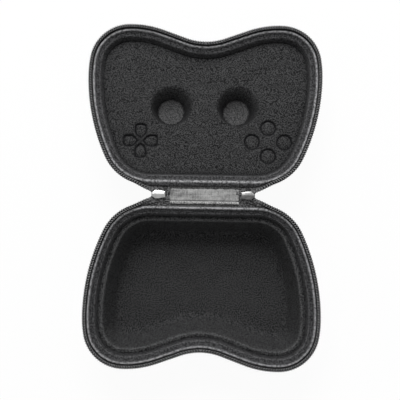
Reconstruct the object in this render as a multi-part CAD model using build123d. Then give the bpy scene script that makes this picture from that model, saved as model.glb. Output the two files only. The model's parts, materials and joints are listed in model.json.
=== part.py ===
from build123d import *
import os
from math import acos, atan2, cos, degrees, hypot, radians, sin, tan

# Hard-shell zip case for a game controller, lying open on a table, in millimetres.
# +X is the case's right, +Y runs from the base to the opened lid, +Z is up.
# The origin is the middle of the base's flat underside.
#
# Each half is drawn in a frame of its own: y is the distance from the middle of the hinge,
# z = 0 is the plane of the two fold lines, and the half is open towards +z.

# Rim outline of both halves: the outer edge of the zip's coil, seen from above
CASE_WIDTH = 184.8
CORNER_RADIUS = 40.5
CORNER_ANGLE = 33.7
SHOULDER_RADIUS = 38.4
SHOULDER_ANGLE = 30.9
SIDE_RADIUS = 156.0
SIDE_ANGLE = 25.4
FLARE_RADIUS = 84.4
FLARE_ANGLE = 9.5
LOBE_RADIUS = 31.5
LOBE_ANGLE = 78.7
LOBE_INNER_RADIUS = 74.0
LOBE_INNER_ANGLE = 21.7
FLANK_LENGTH = 19.3

# Hinge between the halves
FOLD_WIDTH = 9.5
RIM_TO_FOLD = 1.6
CLOTH_THICKNESS = 0.8
FLAP_WIDTH = 3.1
FOLD_CLEARANCE = 0.3

# Moulded shells
BASE_DEPTH = 40.0
LID_DEPTH = 30.0
WALL_DRAFT = 18.0
SHELL_EDGE_INSET = 0.3
SHELL_WALL = 8.0
SHELL_DROP = 0.6
BASE_FLOOR = 4.0
LID_FLOOR = 4.0
BASE_EDGE_RADIUS = 14.0
LID_EDGE_RADIUS = 12.0

# Moulded inserts
INSERT_DROP = 6.0
INSERT_CLEARANCE = 0.2
TRAY_WALL = 4.0
TRAY_FLOOR = 3.0
TRAY_LIP_RADIUS = 2.5
TRAY_FLOOR_RADIUS = 7.0
PANEL_THICKNESS = 4.5
PANEL_EDGE_BEVEL = 0.8
POCKET_DEPTH = 2.5

# Recesses in the lid's panel
STICK_X = 26.4
STICK_Y = 69.4
STICK_DEPTH = 13.0
STICK_FLOOR_RADIUS = 10.3
STICK_MOUTH_RADIUS = 15.0
STICK_ROUND = 3.0
STICK_WALL = 2.0
KEYS_TO_SIDE = 41.7
KEYS_Y = 43.6
PAD_REACH = 8.4
PAD_ARM_WIDTH = 8.4
PAD_ARM_LENGTH = 9.6
PAD_ARM_POINT = 3.2
PAD_ARM_ROUND = 2.0
BUTTON_RADIUS = 5.6
BUTTON_REACH_X = 12.8
BUTTON_REACH_Y = 11.3

# Rim: rolled binding and zip tape
BINDING_INSET = 3.3
BINDING_WIDTH = 4.6
BINDING_HEIGHT = 2.2
BINDING_BEVEL = 0.9
TAPE_THICKNESS = 0.6
TAPE_INSET = 2.4
TAPE_LEAN_ANGLE = 24.0

# Zip coil
COIL_PITCH = 2.0
COIL_WIDTH = 2.8
COIL_TOOTH_DEPTH = 1.3
COIL_TOOTH_TIP = 0.4
COIL_THICKNESS = 1.6
MEETING_CLEARANCE = 0.15

# Closed ends of the zip, beside the hinge cloth
CHAIN_SHOWN = 3.0
CHAIN_LEAD = 1.0
CHAIN_COIL_WIDTH = 4.0
CHAIN_GROOVE = 0.7
CHAIN_GROOVE_DEPTH = 0.3

# Sliders
SLIDER_TO_COIL = 1.1
SLIDER_LENGTH = 10.8
SLIDER_WIDTH = 7.3
SLIDER_TAIL_WIDTH = 6.0
SLIDER_NOSE_WIDTH = 3.0
SLIDER_SHOULDER = 2.4
SLIDER_CORNER = 0.7
SLIDER_PLATE = 0.9
SLIDER_CLEARANCE = 0.3
SLIDER_FLANGE = 0.7
SLIDER_FLANGE_LENGTH = 6.2
SLIDER_SLIT = 1.0
SLIDER_POST_LENGTH = 2.2
SLIDER_POST_WIDTH = 1.8
BRIDGE_SPAN = 5.0
BRIDGE_BAR = 0.9
BRIDGE_WIDTH = 2.0
BRIDGE_ROUND = 0.8

# Pull tabs
PULL_THICKNESS = 1.4
PULL_ARM = 1.4
PULL_LENGTH = 21.0
PULL_TIP_ROUND = 2.0
PULL_CLEARANCE = 0.3

# Worked out from the sizes above
SIDE_ARCS = (
    (CORNER_RADIUS, CORNER_ANGLE),
    (SHOULDER_RADIUS, SHOULDER_ANGLE),
    (SIDE_RADIUS, SIDE_ANGLE),
    (FLARE_RADIUS, FLARE_ANGLE),
    (LOBE_RADIUS, LOBE_ANGLE),
    (LOBE_INNER_RADIUS, LOBE_INNER_ANGLE),
)
DIP_SLOPE = sum(turn for _, turn in SIDE_ARCS) - 180
RIM_Y = FOLD_WIDTH / 2 + RIM_TO_FOLD
SHELL_TOP = -SHELL_DROP
COIL_TOP = FOLD_WIDTH / 2 - MEETING_CLEARANCE
COIL_BOTTOM = COIL_TOP - COIL_THICKNESS
INNER_INSET = SHELL_EDGE_INSET + SHELL_WALL
INSERT_INSET = INNER_INSET + (INSERT_DROP - SHELL_DROP) * tan(radians(WALL_DRAFT)) + INSERT_CLEARANCE
SLIDER_GAP = COIL_THICKNESS + 2 * SLIDER_CLEARANCE
SLIDER_TOP = SLIDER_GAP / 2 + SLIDER_PLATE
BRIDGE_WINDOW = PULL_THICKNESS + 2 * PULL_CLEARANCE
PULL_AXIS_Z = -SLIDER_TOP - BRIDGE_WINDOW / 2
KEYS_X = CASE_WIDTH / 2 - KEYS_TO_SIDE


def corner_length(radius):
    """Length from a sharp foot corner to where its fillet of this radius starts."""
    return radius * tan(radians((90 - WALL_DRAFT) / 2))


def side_arcs(inset):
    """Arcs of the right side, from the end of the hinge straight to the inside of the lobe."""
    width = sum_of_runs()
    start = Vector(CASE_WIDTH / 2 - width, RIM_Y + inset)
    heading = Vector(1, 0)
    arcs = []
    for radius, turn in SIDE_ARCS:
        arc = JernArc(start, heading, radius - inset, turn)
        arcs.append(arc.edge())
        start, heading = arc @ 1, arc % 1
    return arcs


def sum_of_runs():
    """Sideways reach of the arcs that lead from the hinge straight to the widest place."""
    reach, heading = 0.0, 0.0
    for radius, turn in SIDE_ARCS[:3]:
        reach += radius * (sin(radians(heading + turn)) - sin(radians(heading)))
        heading += turn
    return reach


def side_chain(inset):
    """The right side's arcs and the straight flank that leads into the dip."""
    arcs = side_arcs(inset)
    start, heading = arcs[-1] @ 1, arcs[-1] % 1
    return arcs + [Line(start, start + heading * FLANK_LENGTH).edge()]


def dip_arc(flank):
    """The hollow between the two lobes, from the right flank across to the left one."""
    start = flank @ 1
    return JernArc(start, flank % 1, start.X / sin(radians(DIP_SLOPE)), -2 * DIP_SLOPE).edge()


def rim_face(inset, z=0.0):
    """Whole outline of a half, this far inside the coil's outer edge."""
    right = side_chain(inset)
    left = [edge.mirror(Plane.YZ) for edge in right]
    hinge = Line(left[0] @ 0, right[0] @ 0).edge()
    return Pos(0, 0, z) * make_face([hinge, *right, dip_arc(right[-1]), *left])


def zip_edges(inset):
    """The stretch of the outline that carries the zip, with its ends beside the hinge."""
    right = side_chain(inset)
    left = [edge.mirror(Plane.YZ) for edge in right]
    return right + [dip_arc(right[-1])] + left[::-1]


def drafted(inset, top, bottom):
    """Solid below the outline, narrowing downwards at the shell's draft."""
    return extrude(rim_face(inset, top), amount=top - bottom, dir=(0, 0, -1), taper=WALL_DRAFT)


def slider_x():
    """Distance of a slider's middle from the middle of the hinge."""
    zip_end = zip_edges(0)[0] @ 0
    return zip_end.X - SLIDER_TO_COIL - SLIDER_LENGTH / 2


def chain_start():
    """Distance of the closed chain's start, at the hinge cloth's end, from the hinge's middle."""
    return slider_x() - SLIDER_LENGTH / 2 - CHAIN_SHOWN


def chain_end():
    """Distance of the closed chain's end, inside the slider, from the hinge's middle."""
    return slider_x() - SLIDER_LENGTH / 2 + SLIDER_FLANGE_LENGTH


def band(inset, width, bottom, top):
    """Upright band that follows the outline."""
    face = rim_face(inset, bottom) - rim_face(inset + width, bottom)
    return extrude(face, amount=top - bottom, dir=(0, 0, 1))


def edges_at(solid, z):
    """Edges of a solid that lie in one level."""
    return solid.edges().filter_by_position(Axis.Z, z - 0.001, z + 0.001)


def zip_gap():
    """Space beside the hinge that the zip's tape leaves free."""
    end = zip_edges(0)[0] @ 0
    reach = BINDING_INSET + FOLD_WIDTH
    return Pos(0, end.Y, 0) * Box(2 * end.X, 2 * reach, 2 * COIL_TOP)


def shell(depth, floor, edge_radius):
    """Foam shell with drafted walls, a rounded foot and a flat land round the rim."""
    body = drafted(SHELL_EDGE_INSET, SHELL_TOP, -depth)
    body = fillet(edges_at(body, -depth), edge_radius)
    return body - drafted(INNER_INSET, SHELL_TOP, floor - depth)


def base_insert():
    """Deep tray with a soft lip, standing on the base shell's floor."""
    bottom = BASE_FLOOR - BASE_DEPTH
    body = drafted(INSERT_INSET, -INSERT_DROP, bottom)
    hollow = drafted(INSERT_INSET + TRAY_WALL, -INSERT_DROP, bottom + TRAY_FLOOR)
    hollow = fillet(edges_at(hollow, bottom + TRAY_FLOOR), TRAY_FLOOR_RADIUS)
    tray = body - hollow
    lip = tray.faces().sort_by(Axis.Z)[-1]
    return fillet(lip.inner_wires()[0].edges(), TRAY_LIP_RADIUS)


def stick_recess():
    """Round bowl for a thumb stick, and the cup under the panel that stands on the lid's floor."""
    bowl = Cone(STICK_FLOOR_RADIUS, STICK_MOUTH_RADIUS, STICK_DEPTH)
    bowl = Pos(0, 0, -INSERT_DROP - STICK_DEPTH / 2) * bowl
    cup_top = -INSERT_DROP - PANEL_THICKNESS
    cup_height = cup_top - LID_FLOOR + LID_DEPTH
    cup = Cylinder(STICK_MOUTH_RADIUS + STICK_WALL, cup_height)
    return bowl, Pos(0, 0, cup_top - cup_height / 2) * cup


def pad_arm():
    """Recess of one direction arm, pointing towards the middle of the pad."""
    half, length = PAD_ARM_WIDTH / 2, PAD_ARM_LENGTH / 2
    shape = Polygon(
        (-half, length), (half, length), (half, PAD_ARM_POINT - length),
        (0, -length), (-half, PAD_ARM_POINT - length), align=None,
    )
    shape = fillet(shape.vertices(), PAD_ARM_ROUND)
    return extrude(shape, amount=POCKET_DEPTH, dir=(0, 0, -1))


def key_recesses():
    """Direction pad on the left and four round buttons on the right."""
    level = Pos(0, 0, -INSERT_DROP)
    arms = [
        level * Pos(-KEYS_X, KEYS_Y) * Rot(0, 0, turn) * Pos(0, PAD_REACH) * pad_arm()
        for turn in (0, 90, 180, 270)
    ]
    spots = ((BUTTON_REACH_X, 0), (-BUTTON_REACH_X, 0), (0, BUTTON_REACH_Y), (0, -BUTTON_REACH_Y))
    wells = [
        level * Pos(KEYS_X + x, KEYS_Y + y, -POCKET_DEPTH / 2) * Cylinder(BUTTON_RADIUS, POCKET_DEPTH)
        for x, y in spots
    ]
    return arms + wells


def lid_insert():
    """Panel across the lid, pressed with recesses for sticks, arms and buttons."""
    panel = drafted(INSERT_INSET, -INSERT_DROP, -INSERT_DROP - PANEL_THICKNESS)
    panel = chamfer(edges_at(panel, -INSERT_DROP), PANEL_EDGE_BEVEL)
    bowl, cup = stick_recess()
    places = [Pos(side * STICK_X, STICK_Y) for side in (-1, 1)]
    panel += [place * cup for place in places]
    panel -= [place * bowl for place in places]
    mouths = edges_at(panel, -INSERT_DROP).filter_by(GeomType.CIRCLE).group_by(SortBy.RADIUS)[0]
    return fillet(mouths, STICK_ROUND) - key_recesses()


def rim_binding():
    """Rolled binding that covers the sewn edge all round the rim."""
    ring = band(BINDING_INSET, BINDING_WIDTH, SHELL_TOP, SHELL_TOP + BINDING_HEIGHT)
    return chamfer(edges_at(ring, SHELL_TOP + BINDING_HEIGHT), BINDING_BEVEL)


def zipper_tape():
    """Tape sewn flat on the rim's land, then leaning outwards up to the coil."""
    height = COIL_BOTTOM - SHELL_TOP
    outer = extrude(rim_face(TAPE_INSET, SHELL_TOP), amount=height, taper=-TAPE_LEAN_ANGLE)
    inner = extrude(rim_face(TAPE_INSET + TAPE_THICKNESS, SHELL_TOP), amount=height, taper=-TAPE_LEAN_ANGLE)
    foot = band(TAPE_INSET, BINDING_INSET - TAPE_INSET, SHELL_TOP, SHELL_TOP + TAPE_THICKNESS)
    return outer - inner + foot - zip_gap()


def comb_points():
    """Corners of the coil's teeth along the zip, root and tip in turn."""
    run = Wire(zip_edges(0))
    count = round(run.length / COIL_PITCH)
    tip = COIL_TOOTH_TIP / COIL_PITCH / 2
    points = []
    for tooth in range(count):
        for place, depth in ((0, COIL_TOOTH_DEPTH), (0.5 - tip, 0), (0.5 + tip, 0)):
            share = (tooth + place) / count
            inwards = (run % share).rotate(Axis.Z, 90)
            points.append(run @ share + inwards * depth)
    return points + [run @ 1 + (run % 1).rotate(Axis.Z, 90) * COIL_TOOTH_DEPTH]


def zipper_coil():
    """Coil sewn along the tape's edge, as a comb with one tooth for each turn."""
    points = comb_points()
    teeth = Polyline(*points)
    back = zip_edges(COIL_WIDTH)
    ends = [Line(points[0], back[0] @ 0), Line(points[-1], back[-1] @ 0)]
    return extrude(Pos(0, 0, COIL_BOTTOM) * make_face([teeth, *ends, *back]), amount=COIL_THICKNESS)


def hinge_flap():
    """Edge of the hinge cloth, sewn on the land of one half."""
    near = FOLD_WIDTH / 2 + FOLD_CLEARANCE / 2
    align = (Align.CENTER, Align.MIN, Align.MIN)
    return Pos(0, near, SHELL_TOP) * Box(2 * chain_start(), FLAP_WIDTH, CLOTH_THICKNESS, align=align)


def hinge_strip():
    """Hinge cloth between the two fold lines, short of them by half its thickness."""
    return Box(2 * chain_start(), FOLD_WIDTH - CLOTH_THICKNESS, CLOTH_THICKNESS)


def along_x(start, end, width, thickness):
    """Block along +X, centred on the chain."""
    align = (Align.MIN, Align.CENTER, Align.CENTER)
    return Pos(start, 0, 0) * Box(end - start, width, thickness, align=align)


def chain_tape():
    """Closed end of the zip's tape on the right, notched for the coil."""
    start, end = chain_start(), chain_end()
    tape = along_x(start, end, FOLD_WIDTH - CLOTH_THICKNESS, TAPE_THICKNESS)
    return tape - along_x(start + CHAIN_LEAD, end, CHAIN_COIL_WIDTH, 2 * TAPE_THICKNESS)


def chain_coil():
    """Closed end of the zip's chain on the right, ribbed by the turns of its coil."""
    start, end = chain_start() + CHAIN_LEAD, chain_end()
    chain = along_x(start, end, CHAIN_COIL_WIDTH, COIL_THICKNESS)
    grooves = int((end - start) / COIL_PITCH)
    for turn in range(grooves):
        x = start + (turn + 0.5) * COIL_PITCH
        for side in (-1, 1):
            cut = along_x(x, x + CHAIN_GROOVE, CHAIN_COIL_WIDTH, 2 * CHAIN_GROOVE_DEPTH)
            chain -= Pos(0, 0, side * COIL_THICKNESS / 2) * cut
    return chain


def slider_plate():
    """Shield-shaped plate of a slider, square at the tail and narrow at the nose."""
    tail, nose = -SLIDER_LENGTH / 2, SLIDER_LENGTH / 2
    right = [
        (nose, SLIDER_NOSE_WIDTH / 2), (SLIDER_SHOULDER, SLIDER_WIDTH / 2),
        (0, SLIDER_WIDTH / 2), (tail, SLIDER_TAIL_WIDTH / 2),
    ]
    left = [(x, -y) for x, y in reversed(right)]
    shape = Polygon(*right, *left, align=None)
    shape = fillet(shape.vertices(), SLIDER_CORNER)
    return extrude(shape, amount=SLIDER_PLATE)


def slider_flange():
    """Rim turned in along one side of both plates, with a slit for the tape."""
    tail = -SLIDER_LENGTH / 2 + SLIDER_CORNER
    end = -SLIDER_LENGTH / 2 + SLIDER_FLANGE_LENGTH
    rim = along_x(tail, end, SLIDER_FLANGE, SLIDER_GAP) - along_x(tail, end, SLIDER_FLANGE, SLIDER_SLIT)
    return Pos(0, (SLIDER_TAIL_WIDTH - SLIDER_FLANGE) / 2, 0) * rim


def slider_bridge():
    """Arch under the slider that carries the pull tab."""
    span = BRIDGE_SPAN + 2 * BRIDGE_BAR
    height = BRIDGE_WINDOW + BRIDGE_BAR
    arch = Box(span, BRIDGE_WIDTH, height, align=(Align.CENTER, Align.CENTER, Align.MAX))
    corners = arch.edges().filter_by(Axis.Y).group_by(Axis.Z)[0]
    arch = fillet(corners, BRIDGE_ROUND)
    window = Box(BRIDGE_SPAN, BRIDGE_WIDTH, BRIDGE_WINDOW, align=(Align.CENTER, Align.CENTER, Align.MAX))
    return Pos(0, 0, -SLIDER_TOP) * (arch - window)


def slider_body():
    """Cast slider with its nose along +X and its bridge below."""
    post_x = (SLIDER_LENGTH - SLIDER_POST_LENGTH) / 2 - SLIDER_CORNER
    body = Pos(post_x, 0, 0) * Box(SLIDER_POST_LENGTH, SLIDER_POST_WIDTH, SLIDER_GAP)
    body += Pos(0, 0, SLIDER_GAP / 2) * slider_plate()
    body += Pos(0, 0, -SLIDER_TOP) * slider_plate()
    body += slider_flange()
    body += slider_flange().mirror(Plane.XZ)
    return body + slider_bridge()


def pull_window_length():
    """Reach of the tab's eye, enough to swing round the bridge's corners."""
    corner = hypot(BRIDGE_SPAN / 2 + BRIDGE_BAR, BRIDGE_WINDOW / 2 + BRIDGE_BAR)
    return corner + PULL_CLEARANCE


def pull_tab():
    """Flat tab hanging from its round bar, which lies at the origin along Y."""
    eye = BRIDGE_WIDTH + 2 * PULL_CLEARANCE
    width = eye + 2 * PULL_ARM
    down = (Align.CENTER, Align.CENTER, Align.MAX)
    tab = Box(PULL_THICKNESS, width, PULL_LENGTH, align=down)
    tab = fillet(tab.edges().filter_by(Axis.X).group_by(Axis.Z)[0], PULL_TIP_ROUND)
    tab += Rot(90, 0, 0) * Cylinder(PULL_THICKNESS / 2, width)
    reach = pull_window_length() - PULL_THICKNESS / 2
    return tab - Pos(0, 0, -PULL_THICKNESS / 2) * Box(PULL_THICKNESS, eye, reach, align=down)


def lid_tilt():
    """Angle by which the opened lid slopes down until its far edge rests on the table."""
    far = rim_face(0).bounding_box().max.Y - SHELL_EDGE_INSET
    far -= (LID_DEPTH - SHELL_DROP) * tan(radians(WALL_DRAFT)) + corner_length(LID_EDGE_RADIUS)
    run, drop = far - FOLD_WIDTH / 2, LID_DEPTH - LID_EDGE_RADIUS
    return degrees(atan2(run, drop) - acos((BASE_DEPTH - LID_EDGE_RADIUS) / hypot(run, drop)))


OUTLINE = rim_face(0).bounding_box()
HINGE_Y = (OUTLINE.min.Y + OUTLINE.max.Y) / 2
HINGE = Pos(0, HINGE_Y, BASE_DEPTH)
BASE = HINGE * Rot(0, 0, 180)
LID = HINGE * Pos(0, FOLD_WIDTH / 2, 0) * Rot(-lid_tilt(), 0, 0) * Pos(0, -FOLD_WIDTH / 2, 0)


def half_nodes(name, place, shell_solid, insert_solid):
    """Nodes of one half, moved to their place."""
    return {
        f"{name}_shell": place * shell_solid,
        f"{name}_insert": place * insert_solid,
        f"{name}_rim_binding": place * rim_binding(),
        f"{name}_zipper_tape": place * zipper_tape(),
        f"{name}_zipper_coil": place * zipper_coil(),
        f"{name}_hinge_flap": place * hinge_flap(),
    }


def side_nodes(name, turn):
    """Nodes at one end of the hinge, moved to their place."""
    place = HINGE * Rot(0, 0, turn)
    at_slider = place * Pos(slider_x(), 0, 0)
    return {
        f"{name}_chain_tape": place * chain_tape(),
        f"{name}_chain_coil": place * chain_coil(),
        f"{name}_slider_body": at_slider * slider_body(),
        f"{name}_pull_tab": at_slider * Pos(0, 0, PULL_AXIS_Z) * pull_tab(),
    }


def all_nodes():
    """Every separate piece of the case by name."""
    base_shell = shell(BASE_DEPTH, BASE_FLOOR, BASE_EDGE_RADIUS)
    lid_shell = shell(LID_DEPTH, LID_FLOOR, LID_EDGE_RADIUS)
    return {
        **half_nodes("base", BASE, base_shell, base_insert()),
        **half_nodes("lid", LID, lid_shell, lid_insert()),
        "hinge_strip": HINGE * hinge_strip(),
        **side_nodes("left", 180),
        **side_nodes("right", 0),
    }


os.makedirs("parts", exist_ok=True)
for node, solid in all_nodes().items():
    export_step(solid, f"parts/{node}.step")
print("fold lines at y", HINGE_Y - FOLD_WIDTH / 2, "and", HINGE_Y + FOLD_WIDTH / 2, "z", BASE_DEPTH)
print("lid tilt", lid_tilt())
print("pull axis x", slider_x(), "z", BASE_DEPTH + PULL_AXIS_Z)
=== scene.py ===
"""Looks of an open hard-shell zip case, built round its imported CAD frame.

Every length is in metres. Each half of the case is drawn in a frame of its own, as in the CAD source:
x runs along the hinge, v is the distance from the middle of the hinge, z = 0 is the plane of the two
fold lines and the half is open towards +z. HalfFrame carries such points to their place.
"""

import json
import logging
from dataclasses import dataclass
from enum import Enum

import bpy
import numpy as np
from mathutils import Euler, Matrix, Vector


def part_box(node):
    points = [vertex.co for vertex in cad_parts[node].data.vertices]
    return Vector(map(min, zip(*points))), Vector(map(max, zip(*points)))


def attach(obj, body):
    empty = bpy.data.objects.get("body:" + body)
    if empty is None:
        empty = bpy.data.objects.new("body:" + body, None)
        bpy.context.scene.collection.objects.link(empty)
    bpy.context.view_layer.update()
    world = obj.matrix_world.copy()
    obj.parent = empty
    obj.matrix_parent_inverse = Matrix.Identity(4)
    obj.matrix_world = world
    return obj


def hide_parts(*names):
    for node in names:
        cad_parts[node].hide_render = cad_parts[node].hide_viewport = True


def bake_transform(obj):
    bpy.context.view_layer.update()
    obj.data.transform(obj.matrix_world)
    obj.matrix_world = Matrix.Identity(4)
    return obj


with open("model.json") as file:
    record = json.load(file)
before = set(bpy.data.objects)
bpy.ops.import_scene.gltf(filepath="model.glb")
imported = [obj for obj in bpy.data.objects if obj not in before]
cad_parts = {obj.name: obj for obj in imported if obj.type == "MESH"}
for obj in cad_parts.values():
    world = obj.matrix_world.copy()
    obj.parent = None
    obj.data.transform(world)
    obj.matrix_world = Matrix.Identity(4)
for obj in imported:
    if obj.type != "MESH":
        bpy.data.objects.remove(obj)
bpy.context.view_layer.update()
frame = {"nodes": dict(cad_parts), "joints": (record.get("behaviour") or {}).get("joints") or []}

LOG = logging.getLogger("case")
MM = 0.001
Triple = tuple[float, float, float]
RGB = Triple
Array = np.ndarray


class Half(Enum):
    """The two halves of the case, by the name of their CAD body."""

    BASE = "base"
    LID = "lid"


class Side(Enum):
    """The two ends of the hinge, with the sign of x there."""

    LEFT = -1
    RIGHT = 1

    @property
    def label(self) -> str:
        """Its name as the CAD nodes have it."""
        return self.name.lower()


def joint(name: str) -> dict:
    """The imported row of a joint.

    Args:
        name: the joint's name in the record.
    Returns:
        Its row, with position, axis and range.
    """
    return next(row for row in frame["joints"] if row["name"] == name)


BASE_FOLD = joint("base_fold")["pos_m"]
LID_FOLD = joint("lid_fold")["pos_m"]
FOLD_WIDTH = LID_FOLD[1] - BASE_FOLD[1]
HINGE_Y = (LID_FOLD[1] + BASE_FOLD[1]) / 2
FOLD_Z = BASE_FOLD[2]
LID_TILT = np.radians(joint("lid_fold")["range_deg"][1] - 90)
FOLD_TURN = 0.8 * MM
FOLD_REACH = 0.9 * MM


def smooth(t: Array) -> Array:
    """Smooth step, three t squared minus two t cubed, with t held between 0 and 1."""
    t = np.clip(t, 0, 1)
    return t * t * (3 - 2 * t)


def bell(offset: Array, width: float) -> Array:
    """Bell curve, e to the minus square of offset over width."""
    return np.exp(-(offset / width) ** 2)


@dataclass(frozen=True)
class HalfFrame:
    """Carries points drawn in a half's own frame to their place at rest."""

    half: Half

    def place(self, points: Array) -> Array:
        """Base: half a turn about the upright line through the hinge's middle, then up to the fold.
        Lid: shifted to its fold line and tilted down about it.

        Args:
            points: x, v, z in the last axis.
        Returns:
            The points in the row frame.
        """
        x, v, z = np.moveaxis(points, -1, 0)
        if self.half is Half.BASE:
            return np.stack([-x, HINGE_Y - v, FOLD_Z + z], -1)
        run = v - FOLD_WIDTH / 2
        y = LID_FOLD[1] + run * np.cos(LID_TILT) + z * np.sin(LID_TILT)
        return np.stack([x, y, FOLD_Z - run * np.sin(LID_TILT) + z * np.cos(LID_TILT)], -1)


def direction(half: Half, side: Side) -> int:
    """Sign of x of a side in the half's own frame, which is turned round for the base."""
    return -side.value if half is Half.BASE else side.value


def step_along(length: Array, bend: Array, start: Array) -> Array:
    """Step along runs of curvature k. The heading h grows by k times the way, and the point moves by
    (sin h - sin h0) / k and (cos h0 - cos h) / k, or straight on where k is 0.

    Args:
        length: way along each run.
        bend: curvature of each run.
        start: heading at its start.
    Returns:
        The moves, with x and v in the last axis.
    """
    end = start + bend * length
    safe = np.where(bend == 0, 1.0, bend)
    east = np.where(bend == 0, length * np.cos(start), (np.sin(end) - np.sin(start)) / safe)
    north = np.where(bend == 0, length * np.sin(start), (np.cos(start) - np.cos(end)) / safe)
    return np.stack([east, north], -1)


@dataclass(frozen=True)
class RimOutline:
    """Plan of the rim at the outer edge of the zip's coil, from the hinge's middle round to itself."""

    width: float = 184.8 * MM
    hinge_v: float = FOLD_WIDTH / 2 + 1.6 * MM
    flank: float = 19.3 * MM
    arcs: tuple[tuple[float, float], ...] = (
        (40.5 * MM, 33.7), (38.4 * MM, 30.9), (156 * MM, 25.4),
        (84.4 * MM, 9.5), (31.5 * MM, 78.7), (74 * MM, 21.7))
    widest_arc: int = 3

    def runs(self) -> tuple[Array, Array]:
        """Lengths and curvatures of the straight and round runs, in order.

        Returns:
            Two arrays of the same length. The curvature is one over the radius, and minus in the dip.
        """
        turns = np.radians([turn for _, turn in self.arcs])
        radii = np.array([radius for radius, _ in self.arcs])
        ends = np.cumsum(turns)[:self.widest_arc]
        starts = ends - turns[:self.widest_arc]
        widening = radii[:self.widest_arc] * (np.sin(ends) - np.sin(starts))
        straight = self.width / 2 - float(np.sum(widening))
        lengths = np.concatenate([[straight], radii * turns, [self.flank]])
        bends = np.concatenate([[0.0], 1 / radii, [0.0]])
        reach = self.walk(lengths, bends)[0][-1, 0]
        slope = turns.sum() - np.pi
        dip = reach / np.sin(slope)
        lengths = np.concatenate([lengths, [2 * slope * dip], lengths[::-1]])
        return lengths, np.concatenate([bends, [-1 / dip], bends[::-1]])

    def walk(self, lengths: Array, bends: Array) -> tuple[Array, Array]:
        """Start points and headings of the runs, each run one step further.

        Args:
            lengths: length of each run.
            bends: curvature of each run.
        Returns:
            Start points with the end point after them, and start headings with the end heading.
        """
        headings = np.concatenate([[0.0], np.cumsum(lengths * bends)])
        steps = step_along(lengths, bends, headings[:-1])
        start = np.array([[0.0, self.hinge_v]])
        return np.concatenate([start, start + np.cumsum(steps, 0)]), headings

    @property
    def length(self) -> float:
        """Way once round the rim."""
        return float(self.runs()[0].sum())

    def ways(self, spacing: float) -> Array:
        """Ways once round the rim, even and about this far apart."""
        return np.linspace(0, self.length, int(self.length / spacing), endpoint=False)

    def at(self, way: Array) -> tuple[Array, Array]:
        """Points and inward normals at given ways along the rim.

        Args:
            way: distances from the hinge's middle, going round over +x.
        Returns:
            Points and unit normals, each with x and v in the last axis.
        """
        lengths, bends = self.runs()
        points, headings = self.walk(lengths, bends)
        edges = np.concatenate([[0.0], np.cumsum(lengths)])
        way = np.mod(way, edges[-1])
        run = np.clip(np.searchsorted(edges, way, side="right") - 1, 0, len(lengths) - 1)
        t, bend, start = way - edges[run], bends[run], headings[run]
        now = start + bend * t
        return points[run] + step_along(t, bend, start), np.stack([-np.sin(now), np.cos(now)], -1)


RIM = RimOutline()
HEART = np.array([0.0, 62 * MM])


def rounded(corners: list[tuple[float, float]], radii: list[float], steps: int = 6) -> Array:
    """Open line through the corners, each rounded by an arc that touches both its sides.

    Args:
        corners: the points, ends included.
        radii: radius at each corner between the ends.
        steps: points on each arc.
    Returns:
        The line's points.
    """
    points = np.array(corners, float)
    line = [points[:1]]
    for corner, before, after, radius in zip(points[1:-1], points[:-2], points[2:], radii):
        a = (before - corner) / np.linalg.norm(before - corner)
        b = (after - corner) / np.linalg.norm(after - corner)
        half = np.arccos(np.clip(a @ b, -1, 1)) / 2
        centre = corner + (a + b) / np.linalg.norm(a + b) * radius / np.sin(half)
        first = corner + a * radius / np.tan(half) - centre
        last = corner + b * radius / np.tan(half) - centre
        sweep = np.pi - 2 * half
        t = np.linspace(0, 1, steps)[:, None]
        arc = (np.sin((1 - t) * sweep) * first + np.sin(t * sweep) * last) / np.sin(sweep)
        line.append(centre + arc)
    return np.concatenate([*line, points[-1:]])


def divided(line: Array, spacing: float) -> Array:
    """Line with more points on its long runs, so that no gap is wider than the spacing.

    Args:
        line: points of an open line.
        spacing: widest gap wanted.
    Returns:
        The line with its own points and the new ones between them.
    """
    gaps = np.linalg.norm(np.diff(line, axis=0), axis=1)
    pieces = [
        start + (end - start) * np.linspace(0, 1, max(2, int(np.ceil(gap / spacing)) + 1))[:-1, None]
        for start, end, gap in zip(line[:-1], line[1:], gaps)
    ]
    return np.concatenate([*pieces, line[-1:]])


def along(line: Array) -> Array:
    """Way from the first point to each point of a line."""
    return np.concatenate([[0.0], np.cumsum(np.linalg.norm(np.diff(line, axis=0), axis=-1))])


def sheet_loops(x: Array, v: Array, upper: Array, lower: Array) -> Array:
    """Closed loops round a thin sheet, each over its upper face and back below.

    Args:
        x: places on a grid, rows by columns.
        v: places on the same grid.
        upper: heights of the upper face.
        lower: heights of the lower face.
    Returns:
        One loop for each row, with x, v and z in the last axis.
    """
    top, low = (np.stack([x, v, np.broadcast_to(z, x.shape)], -1) for z in (upper, lower))
    return np.concatenate([top, low[:, ::-1]], 1)


def link_new(name: str, data: bpy.types.ID) -> bpy.types.Object:
    """Makes an object of this data and adds it to the scene.

    Args:
        name: the object's name.
        data: its mesh, lamp or camera.
    Returns:
        The object.
    """
    made = bpy.data.objects.new(name, data)
    bpy.context.scene.collection.objects.link(made)
    return made


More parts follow.
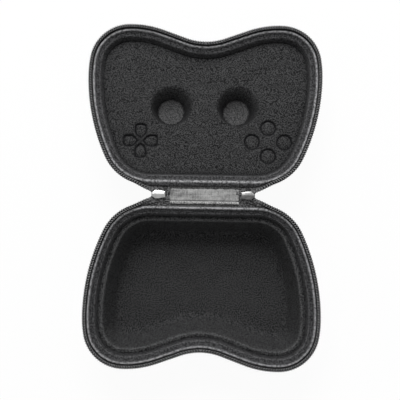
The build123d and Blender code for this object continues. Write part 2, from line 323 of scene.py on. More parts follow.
class Surface:
    """Mesh gathered from grids of points, closed by fans, with its faces turned outwards."""

    def __init__(self, name: str) -> None:
        """Starts an empty surface.

        Args:
            name: the name of its piece.
        """
        self.name = name
        self.points: list[Array] = []
        self.quads: list[Array] = []
        self.fans: list[Array] = []
        self.marks: dict[str, list[Array]] = {}
        self.count = 0

    def add_points(self, points: Array, marks: dict[str, Array]) -> int:
        """Adds points with their marks. A mark that is not given is 0 there.

        Args:
            points: places in the last axis.
            marks: values for each point, by name.
        Returns:
            The number of the first point.
        """
        first, total = self.count, points.size // 3
        self.points.append(points.reshape(-1, 3))
        for key in set(self.marks) | set(marks):
            column = self.marks.setdefault(key, [np.zeros(first)] if first else [])
            column.append(np.broadcast_to(marks.get(key, 0.0), points.shape[:-1]).reshape(-1).astype(float))
        self.count += total
        return first

    def grid(self, points: Array, wrap: tuple[bool, bool], marks: dict[str, Array] | None = None) -> Array:
        """Adds a grid whose neighbours are joined by four-sided faces.

        Args:
            points: rows by columns by 3.
            wrap: whether the last row joins the first, and the last column the first.
            marks: values for each point, by name.
        Returns:
            The numbers of the grid's points, rows by columns.
        """
        n, m = points.shape[:2]
        first = self.add_points(points, marks or {})
        ids = first + np.arange(n * m).reshape(n, m)
        i, j = np.meshgrid(np.arange(n - (not wrap[0])), np.arange(m - (not wrap[1])), indexing="ij")
        i, j = i.ravel(), j.ravel()
        i2, j2 = (i + 1) % n, (j + 1) % m
        self.quads.append(np.stack([ids[i, j], ids[i2, j], ids[i2, j2], ids[i, j2]], 1))
        return ids

    def fan(self, ring: Array, centre: Array, marks: dict[str, Array] | None = None) -> None:
        """Closes a ring of points with three-sided faces round a middle point.

        Args:
            ring: numbers of the ring's points, in order, so that the fan faces as its grid does.
            centre: the middle point.
            marks: values for the middle point, by name.
        """
        middle = self.add_points(np.asarray(centre, float)[None, :], marks or {})
        after = np.roll(ring, -1)
        self.fans.append(np.stack([ring, after, np.full(len(ring), middle)], 1))

    def tube(self, rings: Array, marks: dict[str, Array] | None = None,
             ends: dict[str, Array] | None = None) -> None:
        """Adds loops of points, joined one to the next and closed at both ends by fans.

        Args:
            rings: loops by points by 3.
            marks: values for each point, by name.
            ends: values for the middle points of the fans, by name.
        """
        ids = self.grid(rings, (False, True), marks)
        self.fan(ids[0], rings[0].mean(0), ends)
        self.fan(ids[-1, ::-1], rings[-1].mean(0), ends)

    def build(self, material: bpy.types.Material) -> bpy.types.Object:
        """Makes the object. The faces are turned round if the volume that they close is negative,
        where each face adds a sixth of the triple product of its corners.

        Args:
            material: the finish of the whole piece.
        Returns:
            The object, at the origin, in the scene.
        """
        points = np.concatenate(self.points)
        quads = np.concatenate(self.quads) if self.quads else np.zeros((0, 4), int)
        fans = np.concatenate(self.fans) if self.fans else np.zeros((0, 3), int)
        triangles = np.concatenate([quads[:, [0, 1, 2]], quads[:, [0, 2, 3]], fans])
        a, b, c = (points[triangles[:, k]] for k in range(3))
        inside_out = np.einsum("ij,ij->i", a, np.cross(b, c)).sum() < 0
        faces = [quads[:, ::-1], fans[:, ::-1]] if inside_out else [quads, fans]
        mesh = bpy.data.meshes.new(self.name)
        mesh.from_pydata(points.tolist(), [], [face for block in faces for face in block.tolist()])
        mesh.polygons.foreach_set("use_smooth", np.ones(len(mesh.polygons), bool))
        for key, columns in self.marks.items():
            values = np.concatenate(columns).astype(np.float32)
            mesh.attributes.new(key, "FLOAT", "POINT").data.foreach_set("value", values)
        mesh.materials.append(material)
        mesh.update()
        LOG.info("%s: %d faces", self.name, len(mesh.polygons))
        return link_new(self.name, mesh)


@dataclass(frozen=True)
class Place:
    """Where a finished piece belongs: its body, its slot and the CAD nodes it stands for."""

    body: str
    slot: str
    nodes: tuple[str, ...] = ()

    def settle(self, piece: bpy.types.Object) -> None:
        """Lets the piece ride on its body and stand for its nodes.

        Args:
            piece: the finished object.
        """
        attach(piece, self.body)
        if self.nodes:
            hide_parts(*self.nodes)


class Value:
    """A number that varies over a surface, so that shader maths reads as a Python expression."""

    def __init__(self, graph: "Graph", socket: bpy.types.NodeSocket) -> None:
        """Wraps an output socket of the graph."""
        self.graph = graph
        self.socket = socket

    def __add__(self, other: "Value | float") -> "Value":
        """Sum."""
        return self.graph.maths("ADD", self, other)

    def __sub__(self, other: "Value | float") -> "Value":
        """Difference."""
        return self.graph.maths("SUBTRACT", self, other)

    def __mul__(self, other: "Value | float") -> "Value":
        """Product."""
        return self.graph.maths("MULTIPLY", self, other)

    def __rsub__(self, other: float) -> "Value":
        """Difference from a number."""
        return self.graph.maths("SUBTRACT", other, self)

    __radd__ = __add__
    __rmul__ = __mul__

    def sine(self) -> "Value":
        """Sine of an angle in radians."""
        return self.graph.maths("SINE", self, 0.0)

    def held(self) -> "Value":
        """The value kept between 0 and 1."""
        return self.graph.maths("MINIMUM", self.graph.maths("MAXIMUM", self, 0.0), 1.0)

    def spread(self, low: float, high: float) -> "Value":
        """The value stretched so that low becomes 0 and high becomes 1, and held there."""
        return ((self - low) * (1 / (high - low))).held()


class Graph:
    """Nodes of one material."""

    def __init__(self, name: str) -> None:
        """Starts an empty material.

        Args:
            name: the material's name.
        """
        self.material = bpy.data.materials.new(name)
        self.material.use_nodes = True
        self.tree = self.material.node_tree
        self.tree.nodes.clear()

    def node(self, kind: str, settings: dict | None = None, sockets: dict | None = None) -> bpy.types.Node:
        """Makes one node, with its settings first and then its sockets.

        Args:
            kind: the node's type.
            settings: its own properties by name.
            sockets: values or links of its input sockets, by name or number.
        Returns:
            The node.
        """
        made = self.tree.nodes.new(kind)
        for key, value in (settings or {}).items():
            setattr(made, key, value)
        for key, value in (sockets or {}).items():
            if isinstance(value, Value):
                self.tree.links.new(value.socket, made.inputs[key])
            else:
                made.inputs[key].default_value = value
        return made

    def value(self, node: bpy.types.Node, output: str | int = 0) -> Value:
        """One output of a node as a value."""
        return Value(self, node.outputs[output])

    def maths(self, operation: str, first: Value | float, second: Value | float) -> Value:
        """A sum on two numbers of the surface."""
        return self.value(self.node("ShaderNodeMath", {"operation": operation}, {0: first, 1: second}))

    def place(self) -> Value:
        """Object coordinates, in metres."""
        return self.value(self.node("ShaderNodeTexCoord"), "Object")

    def mark(self, name: str) -> Value:
        """A value that the mesh carries at its points."""
        return self.value(self.node("ShaderNodeAttribute", {"attribute_name": name}), "Fac")

    def noise(self, size: float, detail: float, stretch: Triple = (1.0, 1.0, 1.0)) -> Value:
        """Soft random pattern between 0 and 1.

        Args:
            size: length over which it varies.
            detail: how many finer layers it has.
            stretch: factor on each axis of the coordinates.
        Returns:
            The pattern.
        """
        mapped = self.node("ShaderNodeMapping", None, {0: self.place(), "Scale": stretch})
        sockets = {"Vector": self.value(mapped), "Scale": 1 / size, "Detail": detail, "Roughness": 0.6}
        return self.value(self.node("ShaderNodeTexNoise", None, sockets), 0)

    def blend(self, share: Value, low: RGB | Value, high: RGB | Value) -> Value:
        """Colour between two colours.

        Args:
            share: 0 for the first, 1 for the second.
            low: the first colour.
            high: the second colour.
        Returns:
            The colour.
        """
        low = low if isinstance(low, Value) else (*low, 1.0)
        high = high if isinstance(high, Value) else (*high, 1.0)
        mixed = self.node("ShaderNodeMix", {"data_type": "RGBA"}, {0: share, 6: low, 7: high})
        return self.value(mixed, 2)

    def creased(self, colour: Value, dark: RGB) -> Value:
        """The colour, which is painted dark as shade where the mark "crease" is."""
        return self.blend(self.mark("crease").held(), colour, dark)

    def bump(self, height: Value, depth: float, strength: float) -> Value:
        """Normal of a surface raised by a height between 0 and 1."""
        sockets = {"Height": height, "Distance": depth, "Strength": strength}
        return self.value(self.node("ShaderNodeBump", None, sockets))

    def finish(self, sockets: dict) -> bpy.types.Material:
        """Ends the material in a Principled shader.

        Args:
            sockets: values or links of the shader's sockets, by name.
        Returns:
            The material.
        """
        shader = self.node("ShaderNodeBsdfPrincipled", None, sockets)
        self.node("ShaderNodeOutputMaterial", None, {"Surface": self.value(shader)})
        return self.material


@dataclass(frozen=True)
class BrushedKnit:
    """Brushed knit lining: fine light and dark fibres, with a painted highlight where the mark "crest" is
    and painted shade where "crease" is.
    """

    name: str
    deep: RGB
    pale: RGB
    painted_highlight: RGB
    fibre: float = 0.9 * MM
    mottle: float = 9 * MM
    roughness: float = 0.85
    gloss: float = 0.35
    sheen: float = 0.25
    fuzz: float = 0.35 * MM

    def material(self) -> bpy.types.Material:
        """Fibres and mottle pick the colour. The mark "crest" paints a highlight, a paler colour, and
        "crease" paints shade, a darker one.

        Returns:
            The material.
        """
        graph = Graph(self.name)
        fibres = graph.noise(self.fibre, 0.5).spread(0.44, 0.56)
        strands = graph.noise(self.fibre * 0.55, 1.0).spread(0.4, 0.6)
        mottle = graph.noise(self.mottle, 3.0).spread(0.3, 0.7)
        shade = (fibres * 0.68 + strands * 0.22 + mottle * 0.1).held()
        colour = graph.blend(shade, self.deep, self.pale)
        tufts = graph.noise(self.fibre * 1.35, 1.0).spread(0.4, 0.6)
        # painted highlight: the mark "crest" blends the colour towards the pale highlight colour
        crest = (graph.mark("crest") * (0.2 + shade * 0.55 + tufts * 0.65)).held()
        colour = graph.blend(crest, colour, self.painted_highlight)
        return graph.finish({
            # painted shade: the mark "crease" darkens the colour
            "Base Color": graph.creased(colour, (0.004, 0.004, 0.005)),
            "Roughness": self.roughness - crest * 0.25,
            "Specular IOR Level": self.gloss,
            "Sheen Weight": self.sheen,
            "Sheen Roughness": 0.45,
            "Normal": graph.bump(fibres * 0.7 + strands * 0.3, self.fuzz, 0.8),
        })


@dataclass(frozen=True)
class Weave:
    """Plain weave that follows the cloth's own ways, with threads over and under each other."""

    name: str
    deep: RGB
    pale: RGB
    thread: float
    roughness: float = 0.6
    relief: float = 0.12 * MM

    def material(self) -> bpy.types.Material:
        """Height is the product of two sines of the marks "warp" and "weft", with a little noise.

        Returns:
            The material.
        """
        graph = Graph(self.name)
        u, v = graph.mark("warp"), graph.mark("weft")
        turn = 2 * np.pi / self.thread
        height = ((u * turn).sine() * (v * turn).sine() * 0.5 + 0.5).held()
        slub = graph.noise(self.thread * 3, 2.0).spread(0.3, 0.7)
        shade = (height * 0.6 + slub * 0.4).held()
        return graph.finish({
            "Base Color": graph.blend(shade, self.deep, self.pale),
            "Roughness": self.roughness + slub * 0.15,
            "Specular IOR Level": 0.4,
            "Normal": graph.bump(height, self.relief, 0.7),
        })


@dataclass(frozen=True)
class CoatedCloth:
    """Smooth coated cloth of the hinge: brushed streaks across the fold, worn patches, ends that
    fray into dark threads, painted shade in the fold and a painted shadow under the lid's roll."""

    name: str
    deep: RGB
    pale: RGB
    edge: RGB
    threads: RGB

    def material(self) -> bpy.types.Material:
        """Patches, streaks and grain pick the colour. The mark "seam" is the stitched ridge, "crease" is
        painted shade, and the fray mark turns dark, as threads and on the lid as painted shadow, where it
        beats the streaks.

        Returns:
            The material.
        """
        graph = Graph(self.name)
        patches = graph.noise(3.5 * MM, 2.0, (0.25, 1.0, 1.0)).spread(0.32, 0.68)
        streaks = graph.noise(1.5 * MM, 1.0, (1.0, 0.28, 1.0)).spread(0.36, 0.64)
        grain = graph.noise(0.8 * MM, 1.0).spread(0.4, 0.6)
        shade = (patches * 0.5 + streaks * 0.26 + grain * 0.24).held()
        colour = graph.blend(shade, self.deep, self.pale)
        stitches = graph.blend(grain, (0.05, 0.05, 0.05), self.edge)
        colour = graph.blend(graph.mark("seam").held(), colour, stitches)
        tears = graph.noise(2.4 * MM, 1.5, (1.0, 0.45, 1.0)).spread(0.36, 0.64)
        # dark threads, and on the lid a painted shadow under the roll
        frayed = (graph.mark("frayed") + tears * 0.7 + grain * 0.2 - 0.45).spread(0.42, 0.58)
        colour = graph.blend(frayed, colour, graph.blend(grain, (0.003, 0.003, 0.003), self.threads))
        return graph.finish({
            "Base Color": graph.creased(colour, (0.012, 0.012, 0.013)),
            "Roughness": 0.42 + grain * 0.2 + frayed * 0.3,
            "Specular IOR Level": 0.5,
            "Normal": graph.bump(grain * 0.5 + streaks * 0.5, 0.12 * MM, 0.6),
        })


@dataclass(frozen=True)
class Nylon:
    """Drawn nylon of the zip's coil: bright upper legs, and lower legs painted dark as shade."""

    name: str
    deep: RGB
    pale: RGB
    roughness: float = 0.35

    def material(self) -> bpy.types.Material:
        """Dull and bright stretches from noise, fine lines along the thread, and painted shade where the
        mark "crease" is.

        Returns:
            The material.
        """
        graph = Graph(self.name)
        patches = graph.noise(1.6 * MM, 2.0).spread(0.35, 0.65)
        lines = graph.noise(0.25 * MM, 1.0).spread(0.3, 0.7)
        colour = graph.blend(patches, self.deep, self.pale)
        return graph.finish({
            "Base Color": graph.creased(colour, (0.003, 0.003, 0.003)),
            "Roughness": self.roughness + lines * 0.2,
            "Specular IOR Level": 0.55,
            "Normal": graph.bump(lines, 0.04 * MM, 0.4),
        })


@dataclass(frozen=True)
class PlatedMetal:
    """Bright plating of the sliders, slightly clouded and finely scratched."""

    name: str
    colour: RGB
    clouded: RGB
    roughness: float = 0.24

    def material(self) -> bpy.types.Material:
        """Clouds vary the colour and gloss, and stretched noise gives the scratches.

        Returns:
            The material.
        """
        graph = Graph(self.name)
        clouds = graph.noise(2.5 * MM, 3.0).spread(0.3, 0.7)
        scratches = graph.noise(0.35 * MM, 1.0, (0.15, 1.0, 1.0)).spread(0.3, 0.7)
        return graph.finish({
            "Base Color": graph.blend(clouds, self.clouded, self.colour),
            "Metallic": 1.0,
            "Roughness": self.roughness + clouds * 0.08 + scratches * 0.06,
            "Normal": graph.bump(scratches, 0.02 * MM, 0.3),
        })


@dataclass(frozen=True)
class Finishes:
    """Every material of the case, made once."""

    lining: bpy.types.Material
    binding: bpy.types.Material
    shell: bpy.types.Material
    tape: bpy.types.Material
    coil: bpy.types.Material
    hinge: bpy.types.Material
    metal: bpy.types.Material
    dull_metal: bpy.types.Material

    @classmethod
    def make(cls) -> "Finishes":
        """Builds the materials from their colours, judged in linear light.

        Returns:
            The finishes.
        """
        looks = {
            "lining": BrushedKnit(
                "brushed_knit", deep=(0.0005, 0.0005, 0.0007), pale=(0.0715, 0.072, 0.0735),
                painted_highlight=(0.18, 0.18, 0.182), fibre=0.78 * MM, gloss=0.12, sheen=0.02),
            # the binding's pale colour is the painted highlight on the roll's top and the hem's edge
            "binding": BrushedKnit(
                "stretched_knit", deep=(0.0005, 0.0005, 0.0008), pale=(0.06, 0.06, 0.063),
                painted_highlight=(0.36, 0.36, 0.37), fibre=1.2 * MM, roughness=0.8, sheen=0.06),
            "shell": Weave(
                "woven_nylon", deep=(0.016, 0.016, 0.017), pale=(0.045, 0.046, 0.048), thread=0.9 * MM),
            "tape": BrushedKnit(
                "zip_tape_cloth", deep=(0.002, 0.002, 0.002), pale=(0.13, 0.13, 0.132),
                painted_highlight=(0.2, 0.2, 0.2), fibre=1.2 * MM, sheen=0.05),
            "coil": Nylon("coil_nylon", deep=(0.08, 0.08, 0.082), pale=(0.22, 0.22, 0.222)),
            "hinge": CoatedCloth(
                "hinge_coating", deep=(0.075, 0.075, 0.075), pale=(0.405, 0.405, 0.4),
                edge=(0.5, 0.5, 0.495), threads=(0.09, 0.09, 0.09)),
            "metal": PlatedMetal("slider_plating", colour=(0.9, 0.9, 0.89), clouded=(0.68, 0.68, 0.68)),
            # painted shade: a darker copy of the same plating, for the right slider
            "dull_metal": PlatedMetal(
                "worn_plating", colour=(0.34, 0.34, 0.336), clouded=(0.17, 0.17, 0.17), roughness=0.28),
        }
        return cls(**{use: look.material() for use, look in looks.items()})


def rim_sweep(half: Half, way: Array, profile: Array) -> Array:
    """Carries a profile round the rim: each point is the rim's point plus u times the inward normal.

    Args:
        half: which half it belongs to.
        way: ways along the rim, n of them.
        profile: u and z of each profile point, m by 2, or n by m by 2 where it changes on the way.
    Returns:
        Points in the row frame, n by m by 3.
    """
    points, normals = RIM.at(way)
    profile = np.broadcast_to(profile, (len(way), *profile.shape[-2:]))
    plan = points[:, None, :] + profile[..., :1] * normals[:, None, :]
    return HalfFrame(half).place(np.concatenate([plan, profile[..., 1:]], -1))


def to_heart(ring: Array, shares: Array) -> Array:
    """Rings between a ring and the heart of the half: heart plus share times the way out to the ring.

    Args:
        ring: plan points with their z, n by 3.
        shares: share of each new ring, from near 1 down to above 0.
    Returns:
        Plan points with z, n by k by 3.
    """
    heart = np.array([*HEART, 0.0])
    flat = ring * np.array([1.0, 1.0, 0.0])
    rings = heart + (flat - heart)[:, None, :] * shares[None, :, None]
    rings[..., 2] = ring[:, None, 2]
    return rings


def walled(way: Array, profile: Array, before: Array, after: Array) -> tuple[Array, Array]:
    """Wall swept round the rim, with flat floors from its two ends towards the heart.

    Args:
        way: ways along the rim.
        profile: u and z of the wall's points, from the outer floor to the inner one.
        before: shares of the outer floor's rings, from near 1 down to above 0.
        after: shares of the inner floor's rings.
    Returns:
        Plan points with z, outer floor first, and the inward normals.
    """
    points, normals = RIM.at(way)
    walls = np.concatenate([
        points[:, None, :] + profile[None, :, :1] * normals[:, None, :],
        np.broadcast_to(profile[None, :, 1:], (len(way), len(profile), 1))], -1)
    outer, inner = to_heart(walls[:, 0], before)[:, ::-1], to_heart(walls[:, -1], after)
    return np.concatenate([outer, walls, inner], 1), normals


def close_floors(
        surface: Surface, ids: Array, half: Half, outer: float, inner: float, **marks: Array) -> None:
    """Closes both floors of a walled piece with fans at the heart.

    Args:
        surface: the piece's surface.
        ids: numbers of its grid's points.
        half: which half it belongs to.
        outer: height of the first column's floor.
        inner: height of the last column's floor.
        marks: values at the heart, by name.
    """
    for ring, z in ((ids[::-1, 0], outer), (ids[:, -1], inner)):
        surface.fan(ring, HalfFrame(half).place(np.array([*HEART, z])), marks)


def folded(half: Half, points: Array) -> Array:
    """Places cloth that crosses the fold line. On the lid it lies level on the spine, and turns into
    the half's tilt over the last stretch before the line.

    Args:
        half: which half it belongs to.
        points: points in the half's own frame.
    Returns:
        The points in the row frame.
    """
    placed = HalfFrame(half).place(points)
    if half is Half.BASE:
        return placed
    level = points + np.array([0.0, HINGE_Y, FOLD_Z])
    share = smooth((points[..., 1] - (FOLD_WIDTH / 2 - FOLD_TURN)) / FOLD_TURN)[..., None]
    return level * (1 - share) + placed * share


def fold_zone(half: Half) -> tuple[Array, Array]:
    """The two sides of the fold line between which cloth changes over from its half to the spine.

    Args:
        half: which half it belongs to.
    Returns:
        The side on the half and the side on the spine, in the row frame.
    """
    on_half, on_spine = (np.array([0.0, FOLD_WIDTH / 2 + step, 0.0]) for step in (FOLD_REACH, -FOLD_REACH))
    return HalfFrame(half).place(on_half), HalfFrame(half).place(on_spine)


@dataclass
class MouldedShell:
    """Foam shell of one half: drafted wall, rounded foot and a flat land round the rim."""

    half: Half
    depth: float
    edge_radius: float
    floor: float = 4 * MM
    draft: float = np.radians(18)
    edge_inset: float = 0.3 * MM
    wall: float = 8 * MM
    drop: float = 0.6 * MM
    land_round: float = 0.7 * MM
    floor_run: float = 3 * MM
    facet: float = 3 * MM
    arc_points: int = 7
    spacing: float = 1.3 * MM
    floor_rings: int = 9

    def wall_profile(self) -> Array:
        """Line from the outer floor, round the foot, up the wall, over the land and down to the inner
        floor.

        Returns:
            Points u, z.
        """
        lean = np.tan(self.draft)
        top, inner_floor = -self.drop, self.floor - self.depth
        outside = self.edge_inset + (self.depth - self.drop) * lean
        inner_top = self.edge_inset + self.wall
        inner_foot = inner_top + (top - inner_floor) * lean
        flat = self.edge_radius * np.tan((np.pi / 2 - self.draft) / 2)
        corners = [
            (outside + flat + MM, -self.depth), (outside, -self.depth), (self.edge_inset, top),
            (inner_top, top), (inner_foot, inner_floor), (inner_foot + self.floor_run, inner_floor)]
        radii = [self.edge_radius, self.land_round, self.land_round, MM]
        return divided(rounded(corners, radii, self.arc_points), self.facet)

    def build(self, finishes: Finishes) -> None:
        """Sweeps the profile round the rim and closes both floors at the heart. The weave runs straight
        over the floors, and the wall carries it as if unrolled outwards from its foot.

        Args:
            finishes: the case's materials.
        """
        profile = self.wall_profile()
        way = RIM.ways(self.spacing)
        shares = np.linspace(1, 0, self.floor_rings + 1)[1:-1]
        whole, normals = walled(way, profile, shares, shares)
        threads = whole[..., :2].copy()
        first = len(shares)
        threads[:, first:first + len(profile)] = (
            whole[:, first:first + 1, :2] - along(profile)[None, :, None] * normals[:, None, :])
        surface = Surface(f"{self.half.value}_shell_cover")
        ids = surface.grid(HalfFrame(self.half).place(whole), (True, False),
                           {"warp": threads[..., 0], "weft": threads[..., 1]})
        close_floors(surface, ids, self.half, profile[0, 1], profile[-1, 1], warp=HEART[:1], weft=HEART[1:])
        nodes = (f"{self.half.value}_shell",)
        Place(self.half.value, "shell_cloth", nodes).settle(surface.build(finishes.shell))


@dataclass
class LiningBand:
    """Rolled binding on the rim and the band of the same cloth that lines the wall below it."""

    half: Half
    corners_mm: tuple[tuple[float, float], ...] = (
        (3.9, -0.6), (3.3, -0.6), (2.7, 0.9), (4.0, 2.6), (6.2, 0.1), (8.7, -0.9), (9.9, -4.4),
        (10.9, -5.1), (10.4, -5.9), (9.9, -5.5), (8.35, -0.62), (3.9, -0.6))
    radii_mm: tuple[float, ...] = (0.12, 0.8, 1.15, 1.6, 1.6, 0.5, 0.35, 0.15, 0.1, 0.1)
    arc_points: int = 7
    facet: float = 0.7 * MM
    crest_inset: float = 4.0 * MM
    crest_width: float = 0.8 * MM
    crest_above: float = 0.5 * MM
    hem_inset: float = 8.6 * MM
    hem_width: float = 0.45 * MM
    hem_above: float = -2 * MM
    hem_paleness: float = 0.14
    shade_inset: float = 9.2 * MM
    shade_fade: float = 0.8 * MM
    shade_darkness: float = 0.6
    foot_inset: float = 1.0 * MM
    foot_fade: float = 1.2 * MM
    foot_darkness: float = 0.75
    hinge_half_width: float = 40 * MM
    hinge_fade: float = 12 * MM
    swell_from: tuple[float, ...] = (2.7 * MM, 4.0 * MM, 6.2 * MM)
    swell_to: tuple[float, ...] = (-0.3 * MM, 3.5 * MM, 6.4 * MM)
    swell_above: float = -0.5 * MM
    swell_fade: float = 0.8 * MM
    swell_end: float = 9 * MM
    spacing: float = 0.75 * MM

    def profile(self) -> Array:
        """Closed line round the roll and the band.

        Returns:
            Points u, z in order.
        """
        corners = [(u * MM, z * MM) for u, z in self.corners_mm]
        radii = [radius * MM for radius in self.radii_mm]
        return divided(rounded(corners, radii, self.arc_points), self.facet)[:-1]

    def marks(self, profile: Array) -> dict[str, Array]:
        """Where highlight and shade are painted, by the inset of each point.

        Args:
            profile: u and z of the points, n by m by 2.
        Returns:
            Painted highlight along the roll's top and the hem's edge, as "crest", and painted shade inside
            below the hem and outside at the roll's foot, as "crease".
        """
        u, z = profile[..., 0], profile[..., 1]
        # painted highlight on the roll's top and the hem's edge, painted shade inside and at the foot
        roll = bell(u - self.crest_inset, self.crest_width) * (z > self.crest_above)
        hem = bell(u - self.hem_inset, self.hem_width) * (z > self.hem_above) * self.hem_paleness
        inside = self.shade_darkness * smooth((u - self.shade_inset) / self.shade_fade)
        outside = self.foot_darkness * smooth((self.foot_inset - u) / self.foot_fade)
        return {"crest": np.maximum(roll, hem), "crease": np.maximum(inside, outside)}

    def build(self, finishes: Finishes) -> None:
        """Sweeps the profile round the rim. On the lid the roll swells out over the flap.

        Args:
            finishes: the case's materials.
        """
        line = self.profile()
        way = RIM.ways(self.spacing)
        reach = np.minimum(way, RIM.length - way)
        near = (1 - smooth((reach - self.hinge_half_width) / self.hinge_fade)) * (self.half is Half.LID)
        profile = np.repeat(line[None], len(way), 0)
        swell = np.interp(line[:, 0], self.swell_from, np.array(self.swell_to) - np.array(self.swell_from))
        above = smooth((line[:, 1] - self.swell_above) / self.swell_fade) * (line[:, 0] < self.swell_end)
        profile[..., 0] += near[:, None] * (swell * above)[None, :]
        surface = Surface(f"{self.half.value}_lining_band")
        surface.grid(rim_sweep(self.half, way, profile), (True, True), self.marks(profile))
        nodes = (f"{self.half.value}_rim_binding",)
        Place(self.half.value, "binding_cloth", nodes).settle(surface.build(finishes.binding))


@dataclass
class BaseTray:
    """Moulded tray of the base: soft lip, drafted wall and rounded floor, all under the lining cloth."""

    inset: float = 10.2 * MM
    drop: float = 6 * MM
    bottom: float = 36 * MM
    floor: float = 33 * MM
    wall: float = 4.2 * MM
    draft: float = np.radians(18)
    outer_round: float = 0.9 * MM
    lip_round: float = 2.4 * MM
    floor_round: float = 7 * MM
    under_run: float = 4 * MM
    floor_run: float = 8 * MM
    facet: float = 2 * MM
    arc_points: int = 9
    lip_inset: float = 0.6 * MM
    lip_width: float = 0.9 * MM
    lip_reach: float = 2 * MM
    lip_paleness: float = 0.3
    spacing: float = 1.0 * MM
    floor_rings: int = 25
    under_rings: int = 5

    def build(self, finishes: Finishes) -> None:
        """Sweeps the wall's profile and closes floor and underside at the heart.

        Args:
            finishes: the case's materials.
        """
        lean = np.tan(self.draft)
        inner_top = self.inset + self.wall
        inner_foot = inner_top + (self.floor - self.drop) * lean
        outer_foot = self.inset + (self.bottom - self.drop) * lean
        corners = [
            (outer_foot + self.under_run, -self.bottom), (outer_foot, -self.bottom),
            (self.inset, -self.drop), (inner_top, -self.drop),
            (inner_foot, -self.floor), (inner_foot + self.floor_run, -self.floor)]
        radii = [MM, self.outer_round, self.lip_round, self.floor_round]
        profile = divided(rounded(corners, radii, self.arc_points), self.facet)
        way = RIM.ways(self.spacing)
        under, inner = (np.linspace(1, 0, rings + 1)[1:-1] for rings in (self.under_rings, self.floor_rings))
        whole, _ = walled(way, profile, under, inner)
        # painted highlight along the tray's rounded lip, carried by the mark "crest"
        lip = self.lip_paleness * bell(profile[:, 0] - inner_top + self.lip_inset, self.lip_width)
        lip *= profile[:, 1] > -self.drop - self.lip_reach
        crest = np.concatenate([np.zeros(len(under)), lip, np.zeros(len(inner))])
        surface = Surface("base_tray")
        ids = surface.grid(HalfFrame(Half.BASE).place(whole), (True, False),
                           {"crest": np.broadcast_to(crest, whole.shape[:2])})
        close_floors(surface, ids, Half.BASE, -self.bottom, -self.floor)
        tray = surface.build(finishes.lining)
        Place("base", "lining_cloth", ("base_insert",)).settle(tray)


